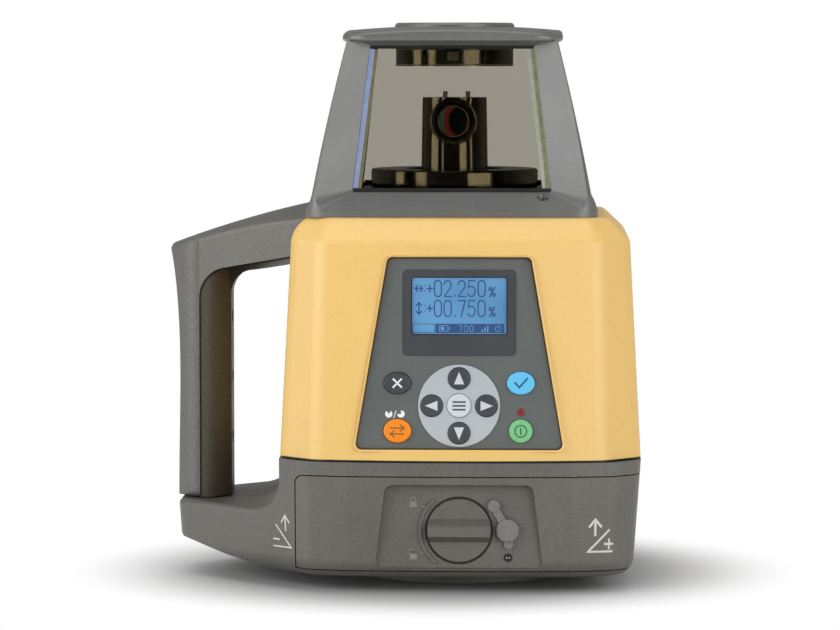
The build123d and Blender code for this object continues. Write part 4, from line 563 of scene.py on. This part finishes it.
def arc(x, y, radius, start, end, count=24):
    """Points on a circle: its middle plus the radius times the cosine and sine of angles from start to end,
    in degrees."""
    turn = np.radians(np.linspace(start, end, count))
    return np.stack([x + radius * np.cos(turn), y + radius * np.sin(turn)], 1)


def ring(x, y, radius, width, height, count=32):
    """Closed circular stroke."""
    return stroke(arc(x, y, radius, 0, 360, count + 1)[:-1], width, height, closed=True)


def disc(x, y, radius, height, count=28):
    """Filled circle."""
    return inlay(arc(x, y, radius, 0, 360, count + 1)[:-1], height)


def rectangle(left, low, right, high):
    """Corners of a rectangle, from the lower left one round."""
    return [(left, low), (right, low), (right, high), (left, high)]


def add_sign(name, parts, place, finish, body, slot):
    """Joins flat parts, sinks their feet a little into the surface and places them in space."""
    points, faces = join_parts(parts)
    x, y, w = points.T
    add_piece(name, place(x, y, w - SINK), faces, finish, body, slot)


print("inlays, rings and discs ready")

# %% [markdown]
# ## Inks
# Print on film and plastic is a thin skin of paint with its own fine grain. It could be plain colour, but
# then it would look cut out, so the inks use the same moulded effect as the plastics, finer and flatter.

# %% Mix the inks
# Each row: display colour, grain in waves per metre, mottle, roughness, bump
INKS = {
    "display_ink": ((46, 78, 132), 2500, 0.05, 0.4, 0.02),
    "white_ink": ((238, 240, 242), 2500, 0.03, 0.4, 0.05),
    "pale_ink": ((208, 212, 219), 2500, 0.03, 0.4, 0.05),
    "dark_ink": ((62, 64, 70), 2500, 0.05, 0.45, 0.05),
    "navy_ink": ((34, 92, 132), 2500, 0.05, 0.45, 0.05),
    "brown_ink": ((150, 96, 40), 2500, 0.05, 0.45, 0.05),
    "green_ink": ((40, 84, 52), 2500, 0.05, 0.45, 0.05),
    "mark_paint": ((214, 214, 210), 1800, 0.06, 0.5, 0.15),
    # The next ink is paler than the grey plastic that its relief stands on: a painted highlight
    "relief_highlight_grey": ((132, 131, 124), 1100, 0.12, 0.44, 0.3),
    # The black ink prints the jack's dot, and it is also painted shade in gaps and recesses
    "black_ink_and_shade": ((24, 23, 22), 2000, 0.08, 0.5, 0.1),
}
inks = {name: moulded(name, *row) for name, row in INKS.items()}
print(f"{len(inks)} inks")

# %% [markdown]
# ## Display picture
# The display shows two slopes, one across and one along the level, over a dark status bar. The figures
# are plain sample numbers. They are thin strokes a few hundredths of a millimetre above the screen, so
# they read as print, not as blocks. A placing function puts them on the panel, which leans back a little.

# %% Panel and screen planes
LEAN, PANEL_Y, PANEL_Z = radians(3.0), -81.926, 107.2
SCREEN_SUNK, BAR_LIFT = 0.6, 0.055


def on_panel(x, v, w):
    """Control panel, in millimetres: its origin plus x to the right, v up the lean and w out of it."""
    y = PANEL_Y + v * sin(LEAN) - w * cos(LEAN)
    z = PANEL_Z + v * cos(LEAN) + w * sin(LEAN)
    return np.stack([x, y, z], -1) * MM


def above_panel(lift):
    """Placing function for a plane that lies a lift above the panel's own."""
    return lambda x, v, w: on_panel(x, v, w + lift)


on_screen = above_panel(-SCREEN_SUNK)
on_bar = above_panel(BAR_LIFT - SCREEN_SUNK)
print(f"panel leans back {np.degrees(LEAN):.1f} degrees")

# %% Paths of the figures
round_zero = [(0.28, 0), (0.72, 0), (0.95, 0.25), (1, 0.6), (1, 1.4), (0.95, 1.75)]
round_zero += [(1 - x, 2 - y) for x, y in round_zero]
two = [(0.0, 1.55), (0.12, 1.85), (0.4, 2.0), (0.7, 1.96), (0.95, 1.72), (1.0, 1.4), (0.85, 1.05)]
two += [(0.05, 0.08), (0.08, 0.0), (1.0, 0.0)]
five = [(0.95, 2.0), (0.1, 2.0), (0.04, 1.12), (0.3, 1.28), (0.65, 1.26), (0.93, 1.0), (1.0, 0.62)]
five += [(0.88, 0.22), (0.55, 0.0), (0.2, 0.05), (0.0, 0.32)]
across_heads = [[(0.3, 1.35), (0.0, 1.0), (0.3, 0.65)], [(0.7, 1.35), (1.0, 1.0), (0.7, 0.65)]]
along_heads = [[(0.15, 0.62), (0.5, 0.3), (0.85, 0.62)], [(0.15, 1.38), (0.5, 1.7), (0.85, 1.38)]]
# Each sign is drawn in a box 1 wide and 2 high; h and v stand for the arrows across and along
OPEN_PATHS = {
    "2": [two],
    "5": [five],
    "7": [[(0.0, 2.0), (1.0, 2.0), (0.42, 0.0)]],
    "+": [[(0.1, 1.0), (0.9, 1.0)], [(0.5, 0.6), (0.5, 1.4)]],
    "%": [[(0.78, 1.15), (0.08, 0.0)]],
    "h": [[(0.0, 1.0), (1.0, 1.0)], *across_heads],
    "v": [[(0.5, 0.3), (0.5, 1.7)], *along_heads],
}
CLOSED_PATHS = {"0": [round_zero], "%": [arc(0.2, 0.94, 0.2, 0, 315, 8), arc(0.66, 0.21, 0.2, 0, 315, 8)]}
print("signs that can be drawn:", *sorted({*OPEN_PATHS, *CLOSED_PATHS}))


# %% Rows of figures
def figures(text, starts, foot, size, line, height):
    """Strokes of a row of signs: each sign's box is scaled to a size and moved to its start and foot."""
    parts = []
    for character, x in zip(text, starts):
        for closed, paths in ((False, OPEN_PATHS), (True, CLOSED_PATHS)):
            for path in paths.get(character, []):
                scaled = np.array(path) * (size[0], size[1] / 2) + (x, foot)
                parts.append(stroke(scaled, line, height, closed))
    return parts


ROWS = (("h+02250%", 25.2), ("v+00750%", 16.4))
ROW_STARTS = (-19.4, -14.6, -11.0, -6.7, -0.5, 3.9, 8.3, 13.2)
ROW_SIZE, ROW_LINE, INK_H = (3.1, 7.0), 0.62, 0.05
POINT_X, POINT_RISE, POINT_R = -2.0, 0.3, 0.45
COLON_X, COLON_RISES, COLON_R = -15.3, (2.4, 4.8), 0.32
DOT_CORNERS = 8
rows = [part for text, foot in ROWS for part in figures(text, ROW_STARTS, foot, ROW_SIZE, ROW_LINE, INK_H)]
dots = [(POINT_X, foot + POINT_RISE, POINT_R) for _, foot in ROWS]
dots += [(COLON_X, foot + rise, COLON_R) for _, foot in ROWS for rise in COLON_RISES]
rows += [disc(x, v, radius, INK_H, DOT_CORNERS) for x, v, radius in dots]
print(f"{len(rows)} strokes and dots in two rows")

# %% Status bar
BAR_LINE, BAR_H, BAR_INK_H = 0.3, 0.04, 0.03
BAR_SIZE, BAR_FOOT = (1.5, 2.7), 9.7
TERMINAL_LINE, STRENGTH_LINE, SWITCH_LINE = 0.4, 0.55, 0.32
rows += [stroke(rectangle(-20.6, 9.2, -11.0, 13.0), BAR_LINE, INK_H, True)]
rows += [inlay(rectangle(-10.8, 9.0, 20.2, 13.2), BAR_H)]
add_sign("display_rows", rows, on_screen, inks["display_ink"], "case", "display")

bar_signs = figures("700", (-0.2, 2.2, 4.6), BAR_FOOT, BAR_SIZE, BAR_LINE, BAR_INK_H)
cell_box, cell_charge = rectangle(-8.8, 9.9, -5.0, 12.3), rectangle(-8.2, 10.4, -6.6, 11.8)
bar_signs += [stroke(cell_box, BAR_LINE, BAR_INK_H, True), inlay(cell_charge, BAR_INK_H)]
bar_signs += [stroke([(-4.4, 10.7), (-4.4, 11.5)], TERMINAL_LINE, BAR_INK_H)]
strength_bars = ((10.2, 10.5), (11.4, 11.3), (12.6, 12.2))
bar_signs += [stroke([(x, BAR_FOOT), (x, top)], STRENGTH_LINE, BAR_INK_H) for x, top in strength_bars]
bar_signs += [stroke(arc(17.2, 11.0, 1.25, 120, 420, 20), SWITCH_LINE, BAR_INK_H)]
bar_signs += [stroke([(17.2, 11.2), (17.2, 12.5)], SWITCH_LINE, BAR_INK_H)]
add_sign("display_bar_signs", bar_signs, on_bar, finishes["display"], "case", "display")
print("display rows and status bar")

# %% [markdown]
# ## Key signs
# Each key carries a printed sign and moves when it is pressed, so each sign rides on its own key's body.
# The four arrowheads share one outline, turned by a quarter each. The other signs are strokes round the
# middle of their key, so one table holds most of them.

# %% Arrowheads
RING_V, RING_REACH, KEY_TOP = -23.1, 12.1, 1.3
ARROWHEAD, ARROW_H = np.array([(0.0, 3.0), (2.25, -2.6), (-2.25, -2.6)]), 0.08


def turned(x, y, quarter):
    """Point turned about the origin by quarters: x cos - y sin, and x sin + y cos."""
    turn = radians(90 * quarter)
    return x * cos(turn) - y * sin(turn), x * sin(turn) + y * cos(turn)


on_key = above_panel(KEY_TOP)
for quarter, key in enumerate(("key_up", "key_left", "key_down", "key_right")):
    x, v = turned(ARROWHEAD[:, 0], ARROWHEAD[:, 1] + RING_REACH, quarter)
    head = inlay(np.stack([x, v + RING_V], 1), ARROW_H)
    add_sign(f"{key}_sign", [head], on_key, inks["pale_ink"], key, "white_key")
print("four arrowheads")

# %% Signs on the other keys
SIDE, UPPER, LOWER, PRINT_H = 27.3, -13.1, -34.3, 0.06
bars = [[(-2.5, lift), (2.5, lift)] for lift in (-1.7, 0, 1.7)]
cross = [[(-1.7, -1.7), (1.7, 1.7)], [(-1.7, 1.7), (1.7, -1.7)]]
check_mark = [[(-2.5, 0.1), (-0.7, -1.8), (2.7, 2.0)]]
arrow_right = [np.array([(-2.8, 1.3), (3.0, 1.3)]), np.array([(1.4, 2.6), (3.0, 1.3), (1.4, 0.0)])]
arrow_left = [-path for path in arrow_right]
# Each row: middle of the key, ink, width of the line, paths
KEY_SIGNS = {
    "key_menu": ((0.0, RING_V), "dark_ink", 0.8, bars),
    "key_escape": ((-SIDE, UPPER), "white_ink", 0.85, cross),
    "key_enter": ((SIDE, UPPER), "navy_ink", 0.9, check_mark),
    "key_axis": ((-SIDE, LOWER), "brown_ink", 0.7, arrow_right + arrow_left),
}
for key, (middle, ink, line, paths) in KEY_SIGNS.items():
    parts = [stroke(np.array(path) + middle, line, PRINT_H) for path in paths]
    add_sign(f"{key}_sign", parts, on_key, inks[ink], key, "white_key")
POWER_R, POWER_RING_LINE, POWER_HALF, POWER_LINE = 2.6, 0.55, 1.3, 0.6
power = [ring(SIDE, LOWER, POWER_R, POWER_RING_LINE, PRINT_H, 30)]
power += [stroke([(SIDE, LOWER - POWER_HALF), (SIDE, LOWER + POWER_HALF)], POWER_LINE, PRINT_H)]
add_sign("key_power_sign", power, on_key, inks["green_ink"], "key_power", "white_key")
print(f"{len(KEY_SIGNS) + 1} more key signs")

# %% [markdown]
# ## Small sign over the orange key
# Above the orange key two part discs with a slash between them are printed on the panel's film. A part
# disc could be cut from a whole one. It is simpler as an arc closed through its own middle and filled.

# %% Part discs
ICON_V, ICON_R, SLASH_LINE = -26.8, 1.65, 0.36
icon = [stroke([(-28.9, ICON_V - 1.7), (-27.9, ICON_V + 1.4)], SLASH_LINE, PRINT_H)]
for x, start, end in ((-31.1, 125, 415), (-25.7, 180, 450)):
    icon += [inlay(np.vstack([arc(x, ICON_V, ICON_R, start, end, 18), [(x, ICON_V)]]), PRINT_H)]
add_sign("axis_sign", icon, on_panel, inks["white_ink"], "case", "white_key")
print("sign over the orange key")

# %% [markdown]
# ## Signs on the battery box
# Beside the lock dial two padlocks, one shut and one open, are raised in the plastic. They and the mark on
# the dial are a paler grey than the plastic, a painted highlight on the lit relief. Under the rubber cap a
# black dot marks the charge jack. Round the dial is a dark gap; a thin black ring paints its shade more
# clearly than the gap's own shadow does. The mark on the dial rides on the dial and turns with it.

# %% Padlocks
RECESS_Y = -82.6
LOCK_X, LOCK_SHUT_Z, LOCK_OPEN_Z = -20.3, 41.3, 17.9
LOCK_HALF, LOCK_FOOT, LOCK_TOP, LOCK_H = 1.7, 2.4, 0.3, 0.32
BOW_R, BOW_RISE, BOW_LINE = 1.15, 0.9, 0.6
NOTCH_LINE, NOTCH_H = 0.55, 0.3


def upright(x0, y0, z0):
    """Placing function for an upright plane that faces the front, in millimetres: from its origin x runs to
    the right, z runs up, and w stands out of it."""
    return lambda x, z, w: np.stack([x0 + x, y0 - w, z0 + z], -1) * MM


def padlock(x, z, swing):
    """Padlock: a filled body and a bow of half a circle with two feet; a swing moves the bow aside and
    lifts one of its feet by as much."""
    body = rectangle(x - LOCK_HALF, z - LOCK_FOOT, x + LOCK_HALF, z + LOCK_TOP)
    bow = arc(x + swing, z + BOW_RISE + abs(swing) / 3, BOW_R, 0, 180, 14)
    left_foot, right_foot = (bow[-1][0], z + LOCK_TOP), (bow[0][0], z + LOCK_TOP + abs(swing))
    return [inlay(body, LOCK_H), stroke(np.vstack([[right_foot], bow, [left_foot]]), BOW_LINE, LOCK_H)]


on_recess = upright(0.0, RECESS_Y, 0.0)
locks = padlock(LOCK_X, LOCK_SHUT_Z, 0.0) + padlock(LOCK_X, LOCK_OPEN_Z, -1.0)
notches = ([(-16.6, 39.6), (-15.2, 38.9)], [(-16.6, 18.2), (-15.2, 18.9)])
locks += [stroke(notch, NOTCH_LINE, NOTCH_H) for notch in notches]
# The padlocks' paler grey is a painted highlight on raised relief
add_sign("lock_signs", locks, on_recess, inks["relief_highlight_grey"], "battery", "grey_plastic")
print("two padlocks, each with its notch mark")

# %% Dial mark, painted shade of the dial gap and jack sign
DIAL_Z, DIAL_PROUD, DIAL_MARK_H = 28.6, 0.8, 0.25
DIAL_GAP_R, DIAL_GAP_W, DIAL_GAP_H = 14.8, 0.8, 0.06
JACK_X, JACK_Z, JACK_R, JACK_H = 21.7, 16.5, 2.0, 0.15
PIN_SIDE, PIN_R, PIN_H, PIN_LIFT = 0.6, 0.28, 0.08, 0.14

on_dial = upright(0.0, RECESS_Y - DIAL_PROUD, 0.0)
pointer = [inlay([(-9.6, 37.2), (-8.0, 37.9), (-8.6, 36.2)], DIAL_MARK_H)]
# The dial mark's paler grey is a painted highlight too
add_sign("dial_mark", pointer, on_dial, inks["relief_highlight_grey"], "dial", "grey_plastic")
# Painted shade: a thin black ring lies in the gap round the dial
dial_gap_shade = [ring(0, DIAL_Z, DIAL_GAP_R, DIAL_GAP_W, DIAL_GAP_H, 96)]
add_sign("dial_gap_shade", dial_gap_shade, on_recess, inks["black_ink_and_shade"], "battery", "black_rubber")
jack_dot = [disc(JACK_X, JACK_Z, JACK_R, JACK_H)]
add_sign("jack_sign", jack_dot, on_recess, inks["black_ink_and_shade"], "battery", "black_plastic")
on_jack_sign = upright(0.0, RECESS_Y - PIN_LIFT, 0.0)
pins = [disc(JACK_X + side, JACK_Z, PIN_R, PIN_H) for side in (-PIN_SIDE, PIN_SIDE)]
add_sign("jack_sign_pins", pins, on_jack_sign, inks["mark_paint"], "battery", "white_key")
print("dial mark, gap round the dial and jack sign")

# %% [markdown]
# ## Slope marks
# Painted slope marks show which side of the level goes up. They lie on a drafted skin that bends round a
# corner. A flat decal would cut into the bend, so each mark is drawn flat in fine steps and wrapped:
# across runs along the outline of the plan, and up runs up the draft.

# %% Skin of the base
BASE_TOP, DRAFT, CORNER_R, CORNER_STEPS = 59.0, tan(radians(4.0)), 12.0, 16


def rounded_corner(start, corner, end, radius):
    """Path of two straight runs joined by an arc that touches both, and the outward normal at each point;
    the arc's middle is the radius over the sine of half the corner's angle away, on its bisector."""
    start, corner, end = (np.array(point, float) for point in (start, corner, end))
    to_start, to_end = start - corner, end - corner
    to_start /= np.linalg.norm(to_start)
    to_end /= np.linalg.norm(to_end)
    half_angle = np.arccos(np.clip(to_start @ to_end, -1, 1)) / 2
    middle = corner + (to_start + to_end) / np.linalg.norm(to_start + to_end) * radius / sin(half_angle)
    touch = radius / tan(half_angle)
    first, last = corner + to_start * touch, corner + to_end * touch
    share = np.linspace(0, 1, CORNER_STEPS)[:, None]
    spoke = (first - middle) * (1 - share) + (last - middle) * share
    bend = middle + spoke / np.linalg.norm(spoke, axis=1, keepdims=True) * radius
    normal = np.vstack([[bend[0] - middle], bend - middle, [bend[-1] - middle]])
    return np.vstack([[start], bend, [end]]), normal / np.linalg.norm(normal, axis=1, keepdims=True)


def on_skin(path, normal):
    """Placing function for a drafted skin: s runs along the plan's outline, z is the height, and w stands
    out of the skin; below the top the outline is drawn in along its normal by the draft."""
    run = np.concatenate([[0], np.cumsum(np.linalg.norm(np.diff(path, axis=0), axis=1))])

    def place(s, z, w):
        x, y, nx, ny = (np.interp(s, run, column) for column in (*path.T, *normal.T))
        out = w - (BASE_TOP - z) * DRAFT
        return np.stack([x + nx * out, y + ny * out, z], -1) * MM

    return place


right_skin = on_skin(*rounded_corner((50.0, -86.4), (69.4, -82.4), (80.8, -71.39), CORNER_R))
left_skin = on_skin(*rounded_corner((-50.0, -86.4), (-69.4, -82.4), (-132.4, -20.0), CORNER_R))
print(f"skin drawn in by {DRAFT:.3f} mm a millimetre of depth")

# %% Marks wrapped round the base
RUN_STEPS, PAINT_H = 16, 0.12
MARK_FOOT, MARK_WIDE, ARM_SHARE, ARM_RISE = 19.2, 11.6, 0.32, 9.6
SHAFT_SIDE, SHAFT_LOW, SHAFT_HIGH, SHAFT_LINE = 2.6, 7.6, 13.2, 1.15
HEAD_HALF, HEAD_LOW, HEAD_TIP = 2.5, 11.4, 14.4


def bent_stroke(path, line):
    """Stroke whose straight runs are divided into short steps, so that it can follow a bent skin."""
    corners = np.array(path, float)
    steps = np.linspace(0, len(corners) - 1, RUN_STEPS * (len(corners) - 1) + 1)
    stepped = np.stack([np.interp(steps, np.arange(len(corners)), column) for column in corners.T], 1)
    return stroke(stepped, line, PAINT_H)


def slope_mark(s, line):
    """Slope mark: an upright arrow over an angle whose arms open along s."""
    foot, half, shaft = MARK_FOOT, MARK_WIDE / 2, s - SHAFT_SIDE
    angle = [(s + half, foot), (s - half, foot), (s + MARK_WIDE * ARM_SHARE, foot + ARM_RISE)]
    stem = [(shaft, foot + SHAFT_LOW), (shaft, foot + SHAFT_HIGH)]
    head_feet = [(shaft + side, foot + HEAD_LOW) for side in (-HEAD_HALF, HEAD_HALF)]
    head = [head_feet[0], (shaft, foot + HEAD_TIP), head_feet[1]]
    return [bent_stroke(angle, line), *(bent_stroke(path, line * SHAFT_LINE) for path in (stem, head))]


PLUS_S, PLUS_LINE, PLUS_ARROW_LINE = 13.6, 1.1, 0.95
MINUS_S, MINUS_LINE, MINUS_ARROW_LINE = 36.2, 0.8, 0.7
plus_bars = ([(2.0, 22.6), (6.0, 22.6)], [(4.0, 20.7), (4.0, 24.5)])
plus = slope_mark(PLUS_S, PLUS_ARROW_LINE)
plus += [bent_stroke(np.array(bar) + (PLUS_S, 0), PLUS_LINE) for bar in plus_bars]
add_sign("slope_mark_plus", plus, right_skin, inks["mark_paint"], "battery", "white_key")
minus_bar = np.array([(2.2, 22.4), (5.6, 22.4)]) + (MINUS_S, 0)
minus = slope_mark(MINUS_S, MINUS_ARROW_LINE) + [bent_stroke(minus_bar, MINUS_LINE)]
add_sign("slope_mark_minus", minus, left_skin, inks["mark_paint"], "case", "white_key")
print("two slope marks")

# %% [markdown]
# ## Edges of the panel and the screen
# The control panel lies in a window of the amber case. A dark brown line round it is painted shade, the
# shadow in the gap between plate and case, and the window has a sloping rim that shines where it faces up
# or sideways. A thin black ring round the screen is painted shade too, the shadow that the bezel's edge
# casts on the sunk screen. All three are profiles carried round a closed path with rounded corners, as
# smooth as the plate's own edge.

# %% Painted shade round the panel and the screen, and the window rim
PANEL_TOP, PANEL_FOOT, PANEL_HALF_H, PANEL_ROUND = 32.2, 46.8, 43.1, 3.0
PANEL_SHADE_INSET, PANEL_SHADE_W, PANEL_SHADE_H = 0.85, 0.75, 0.15
RIM_INSET, RIM_W, RIM_H, RIM_PROUD = 0.1, 0.8, 0.7, 0.05
WINDOW_DEPTH, CASE_BOW_R = 3.6, 782.0
WEDGE = ((-0.5, 0.0), (-0.5, 1.0), (0.5, 0.1), (0.5, 0.0))
SCREEN_SHADE_HALF, SCREEN_SHADE_LOW, SCREEN_SHADE_HIGH = 21.1, 8.4, 33.7
SCREEN_SHADE_ROUND, SCREEN_SHADE_W, SCREEN_SHADE_H = 1.0, 0.45, 0.3


def rounded_outline(corners, radius):
    """Closed path round a flat shape: each corner's arc in turn, joined by straight runs."""
    before, after = corners[-1:] + corners[:-1], corners[1:] + corners[:1]
    runs = [rounded_corner(*three, radius)[0] for three in zip(before, corners, after)]
    return np.concatenate([run[1:-1] for run in runs])


def on_window(x, v, w):
    """Rim of the panel's window: the amber face stands a window's depth out of the panel, less the face's
    bow, which is half of x squared over the bow's radius; the rim ends just proud of that face."""
    return on_panel(x, v, w + WINDOW_DEPTH - x**2 / (2 * CASE_BOW_R) - RIM_H + RIM_PROUD)


def panel_edge(inset):
    """Outline of the panel, drawn in by an inset: a rounded trapezium, from its lower left corner."""
    foot, top, half = PANEL_FOOT - inset, PANEL_TOP - inset, PANEL_HALF_H - inset
    return rounded_outline([(-foot, -half), (foot, -half), (top, half), (-top, half)], PANEL_ROUND)


# Painted shade: a dark brown line in the gap round the panel
panel_shade_line = [stroke(panel_edge(PANEL_SHADE_INSET), PANEL_SHADE_W, PANEL_SHADE_H, True)]
panel_shade_tint = moulded("panel_gap_shade", (74, 58, 32), 2000, 0.1, 0.5, 0.1)
add_sign("panel_gap_shade", panel_shade_line, on_panel, panel_shade_tint, "case", "black_rubber")
rim = [stroke(panel_edge(RIM_INSET), RIM_W, RIM_H, True, WEDGE)]
add_sign("window_rim", rim, on_window, finishes["amber_plastic"], "case", "amber_plastic")
# Painted shade: a black ring where the bezel's edge shades the sunk screen
screen_shade_edge = rectangle(-SCREEN_SHADE_HALF, SCREEN_SHADE_LOW, SCREEN_SHADE_HALF, SCREEN_SHADE_HIGH)
screen_shade_ring = [stroke(rounded_outline(screen_shade_edge, SCREEN_SHADE_ROUND), SCREEN_SHADE_W, SCREEN_SHADE_H, True)]
add_sign("screen_edge_shade", screen_shade_ring, on_screen, inks["black_ink_and_shade"], "case", "black_rubber")
print("panel seal, window rim and screen gasket")

# %% [markdown]
# ## Edges and seals of the panes
# The four panes are thick, and their ground edges shine in colour where they meet the posts: blue and
# olive on one side, grey-green on the other. Real glass does this by dispersion, which takes a renderer
# very long, so the coloured light is painted on thin tinted strips. They are on the front and side panes
# only, because those of the rear pane would show through the front one as dark lines. Black seals close
# all four at foot and head.

# %% Pane edges and seals
BEACON_X, PANE_FOOT, PANE_HEAD = -4.0, 54.0, 42.5
PANE_FOOT_Z, PANE_HEAD_Z, PANE_HALF, PANE_HALF_HEAD = 177.5, 243.0, 44.7, 37.1
pane_rise = np.array([PANE_FOOT - PANE_HEAD, PANE_HEAD_Z - PANE_FOOT_Z])
PANE_LENGTH = np.linalg.norm(pane_rise)
UP_Y, UP_Z = pane_rise / PANE_LENGTH
EDGE_SLOPE = (PANE_HALF - PANE_HALF_HEAD) / PANE_LENGTH
EDGE_ENDS, EDGE_H, PANE_SEAL_H = (2.2, PANE_LENGTH - 2.6), 0.07, 0.35


def on_pane(x, v, w, quarter):
    """One pane: x along it, v up its lean and w out of it, turned by quarters about the beacon's axis."""
    x, y = turned(x, -PANE_FOOT + v * UP_Y - w * UP_Z, quarter)
    return np.stack([BEACON_X + x, y, PANE_FOOT_Z + v * UP_Z + w * UP_Y], -1) * MM


def add_on_panes(name, quarters, parts, finish, slot):
    """The same flat parts on several panes, joined into one piece."""
    placed = []
    for quarter in quarters:
        for points, faces in parts:
            x, v, w = points.T
            placed.append((on_pane(x, v, w - SINK, quarter), faces))
    add_piece(name, *join_parts(placed), finish, "case", slot)


def edge_strip(side, inset, width):
    """Strip up a pane's edge: a straight path that follows the edge's lean at a constant inset."""
    return stroke([(side * (PANE_HALF - EDGE_SLOPE * v - inset), v) for v in EDGE_ENDS], width, EDGE_H)


FRONT_AND_SIDES = (0, 1, 3)
# Each row: side of the pane, inset, width, display colour, mottle
# Painted light: each strip's colour stands in for light that the glass's edge bends and splits
EDGE_LIGHTS = {
    "pane_edge_blue": (-1, 1.3, 2.2, (136, 152, 190), 0.1),
    "pane_edge_olive": (-1, 3.2, 1.5, (116, 110, 76), 0.15),
    "pane_edge_green": (1, 1.2, 2.0, (120, 126, 98), 0.15),
    "pane_edge_grey": (1, 3.2, 1.6, (158, 160, 146), 0.1),
}
for name, (side, inset, width, color, mottle) in EDGE_LIGHTS.items():
    painted_edge_light = moulded(name, color, 300, mottle, 0.2, 0.02)
    add_on_panes(name, FRONT_AND_SIDES, [edge_strip(side, inset, width)], painted_edge_light, "smoked_glass")
seal_rows = ((0.9, PANE_HALF - 1.4, 1.8), (PANE_LENGTH - 0.8, PANE_HALF_HEAD - 1.3, 1.2))
pane_seals = [stroke([(-half, v), (half, v)], width, PANE_SEAL_H) for v, half, width in seal_rows]
add_on_panes("pane_seals", range(4), pane_seals, finishes["black_rubber"], "black_rubber")
print("edges on three panes and seals on four")

# %% [markdown]
# ## Lens rim and hub
# A bright rim round the exit lens is a painted highlight. The black hub under the cap has two fine ridges,
# coloured pale as a painted highlight on their edges, and a tab with a bronze face. They are too fine for
# the CAD solids. The rim rides on the rotor and turns with it, and the ridges are drawn on the hub's
# unrolled side and wrapped round it.

# %% Rim of the lens
LENS_Y, LENS_Z = -20.6, 208.5
LENS_RIM_R, LENS_RIM_W, LENS_RIM_H = 6.95, 0.24, 0.06

on_lens_ring = upright(BEACON_X, LENS_Y, LENS_Z)
# Painted highlight: a pale tint for the rim of the lens and for the hub's ridges
painted_highlight_tint = moulded("lens_rim_highlight", (118, 116, 96), 2500, 0.05, 0.25, 0.02)
lens_rim_highlight = [ring(0, 0, LENS_RIM_R, LENS_RIM_W, LENS_RIM_H, 64)]
add_sign("lens_rim_highlight", lens_rim_highlight, on_lens_ring, painted_highlight_tint, "rotor", "lens_glass")
print("bright rim round the lens")

# %% Ridges and tab of the hub
HUB_R, HUB_STEPS = 27.0, 97
HUB_RIDGE_W, HUB_RIDGE_H, HUB_RIDGE_HEIGHTS = 0.5, 0.12, (234.3, 241.2)
TAB_Y, TAB_Z, TAB_HALF_W, TAB_HALF_H, TAB_FACE_H = -28.2, 238.2, 2.6, 2.0, 0.06


def on_hub(s, z, w):
    """Side of the hub: s over the radius is the angle round it from the rear, z is the height, and w stands
    out of it."""
    turn = s / HUB_R
    return np.stack([BEACON_X + (HUB_R + w) * np.sin(turn), (HUB_R + w) * np.cos(turn), z], -1) * MM


round_hub = np.linspace(0, 2 * np.pi * HUB_R, HUB_STEPS)
ridge_paths = [np.stack([round_hub, np.full(HUB_STEPS, z)], 1) for z in HUB_RIDGE_HEIGHTS]
ridges = [stroke(path, HUB_RIDGE_W, HUB_RIDGE_H) for path in ridge_paths]
# The ridges are real relief, tinted pale as a painted highlight
add_sign("hub_lip_highlight", ridges, on_hub, painted_highlight_tint, "case", "black_plastic")
on_tab = upright(BEACON_X, TAB_Y, TAB_Z)
tab_tint = moulded("tab_bronze", (112, 100, 62), 2000, 0.1, 0.3, 0.03)
tab_face = [inlay(rectangle(-TAB_HALF_W, -TAB_HALF_H, TAB_HALF_W, TAB_HALF_H), TAB_FACE_H)]
add_sign("hub_tab_face", tab_face, on_tab, tab_tint, "case", "black_plastic")
print("two ridges round the hub and the face of its tab")

# %% [markdown]
# ## Shade in the screw recesses
# Screws hold the beacon's posts and its cap, four each. Their heads are CAD solids. A cross for the driver
# could be cut into them. Two thin black strokes on each head are painted shade, the dark of that recess,
# and leave the head whole.

# %% Crosses in the screw heads
CROSS_REACH, CROSS_W, CROSS_H = 1.5, 0.9, 0.05
POST_SCREW, CAP_SCREW = (40.9, -57.0, 174.6), (42.0, 42.0, 248.2)


def cross_recess_shade(x, y):
    """Cross of two short strokes on a screw head: painted shade of its recess."""
    across = [(x - CROSS_REACH, y), (x + CROSS_REACH, y)]
    along = [(x, y - CROSS_REACH), (x, y + CROSS_REACH)]
    return [stroke(path, CROSS_W, CROSS_H) for path in (across, along)]


cross_shades = []
for quarter in range(4):
    for screw_x, screw_y, screw_top in (POST_SCREW, CAP_SCREW):
        x, y = turned(screw_x, screw_y, quarter)
        for points, faces in cross_recess_shade(BEACON_X + x, y):
            cross_shades.append(((points + (0, 0, screw_top - SINK)) * MM, faces))
add_piece("screw_recess_shade", *join_parts(cross_shades), inks["black_ink_and_shade"], "case", "black_plastic")
print(f"{len(cross_shades) // 2} screw recesses")
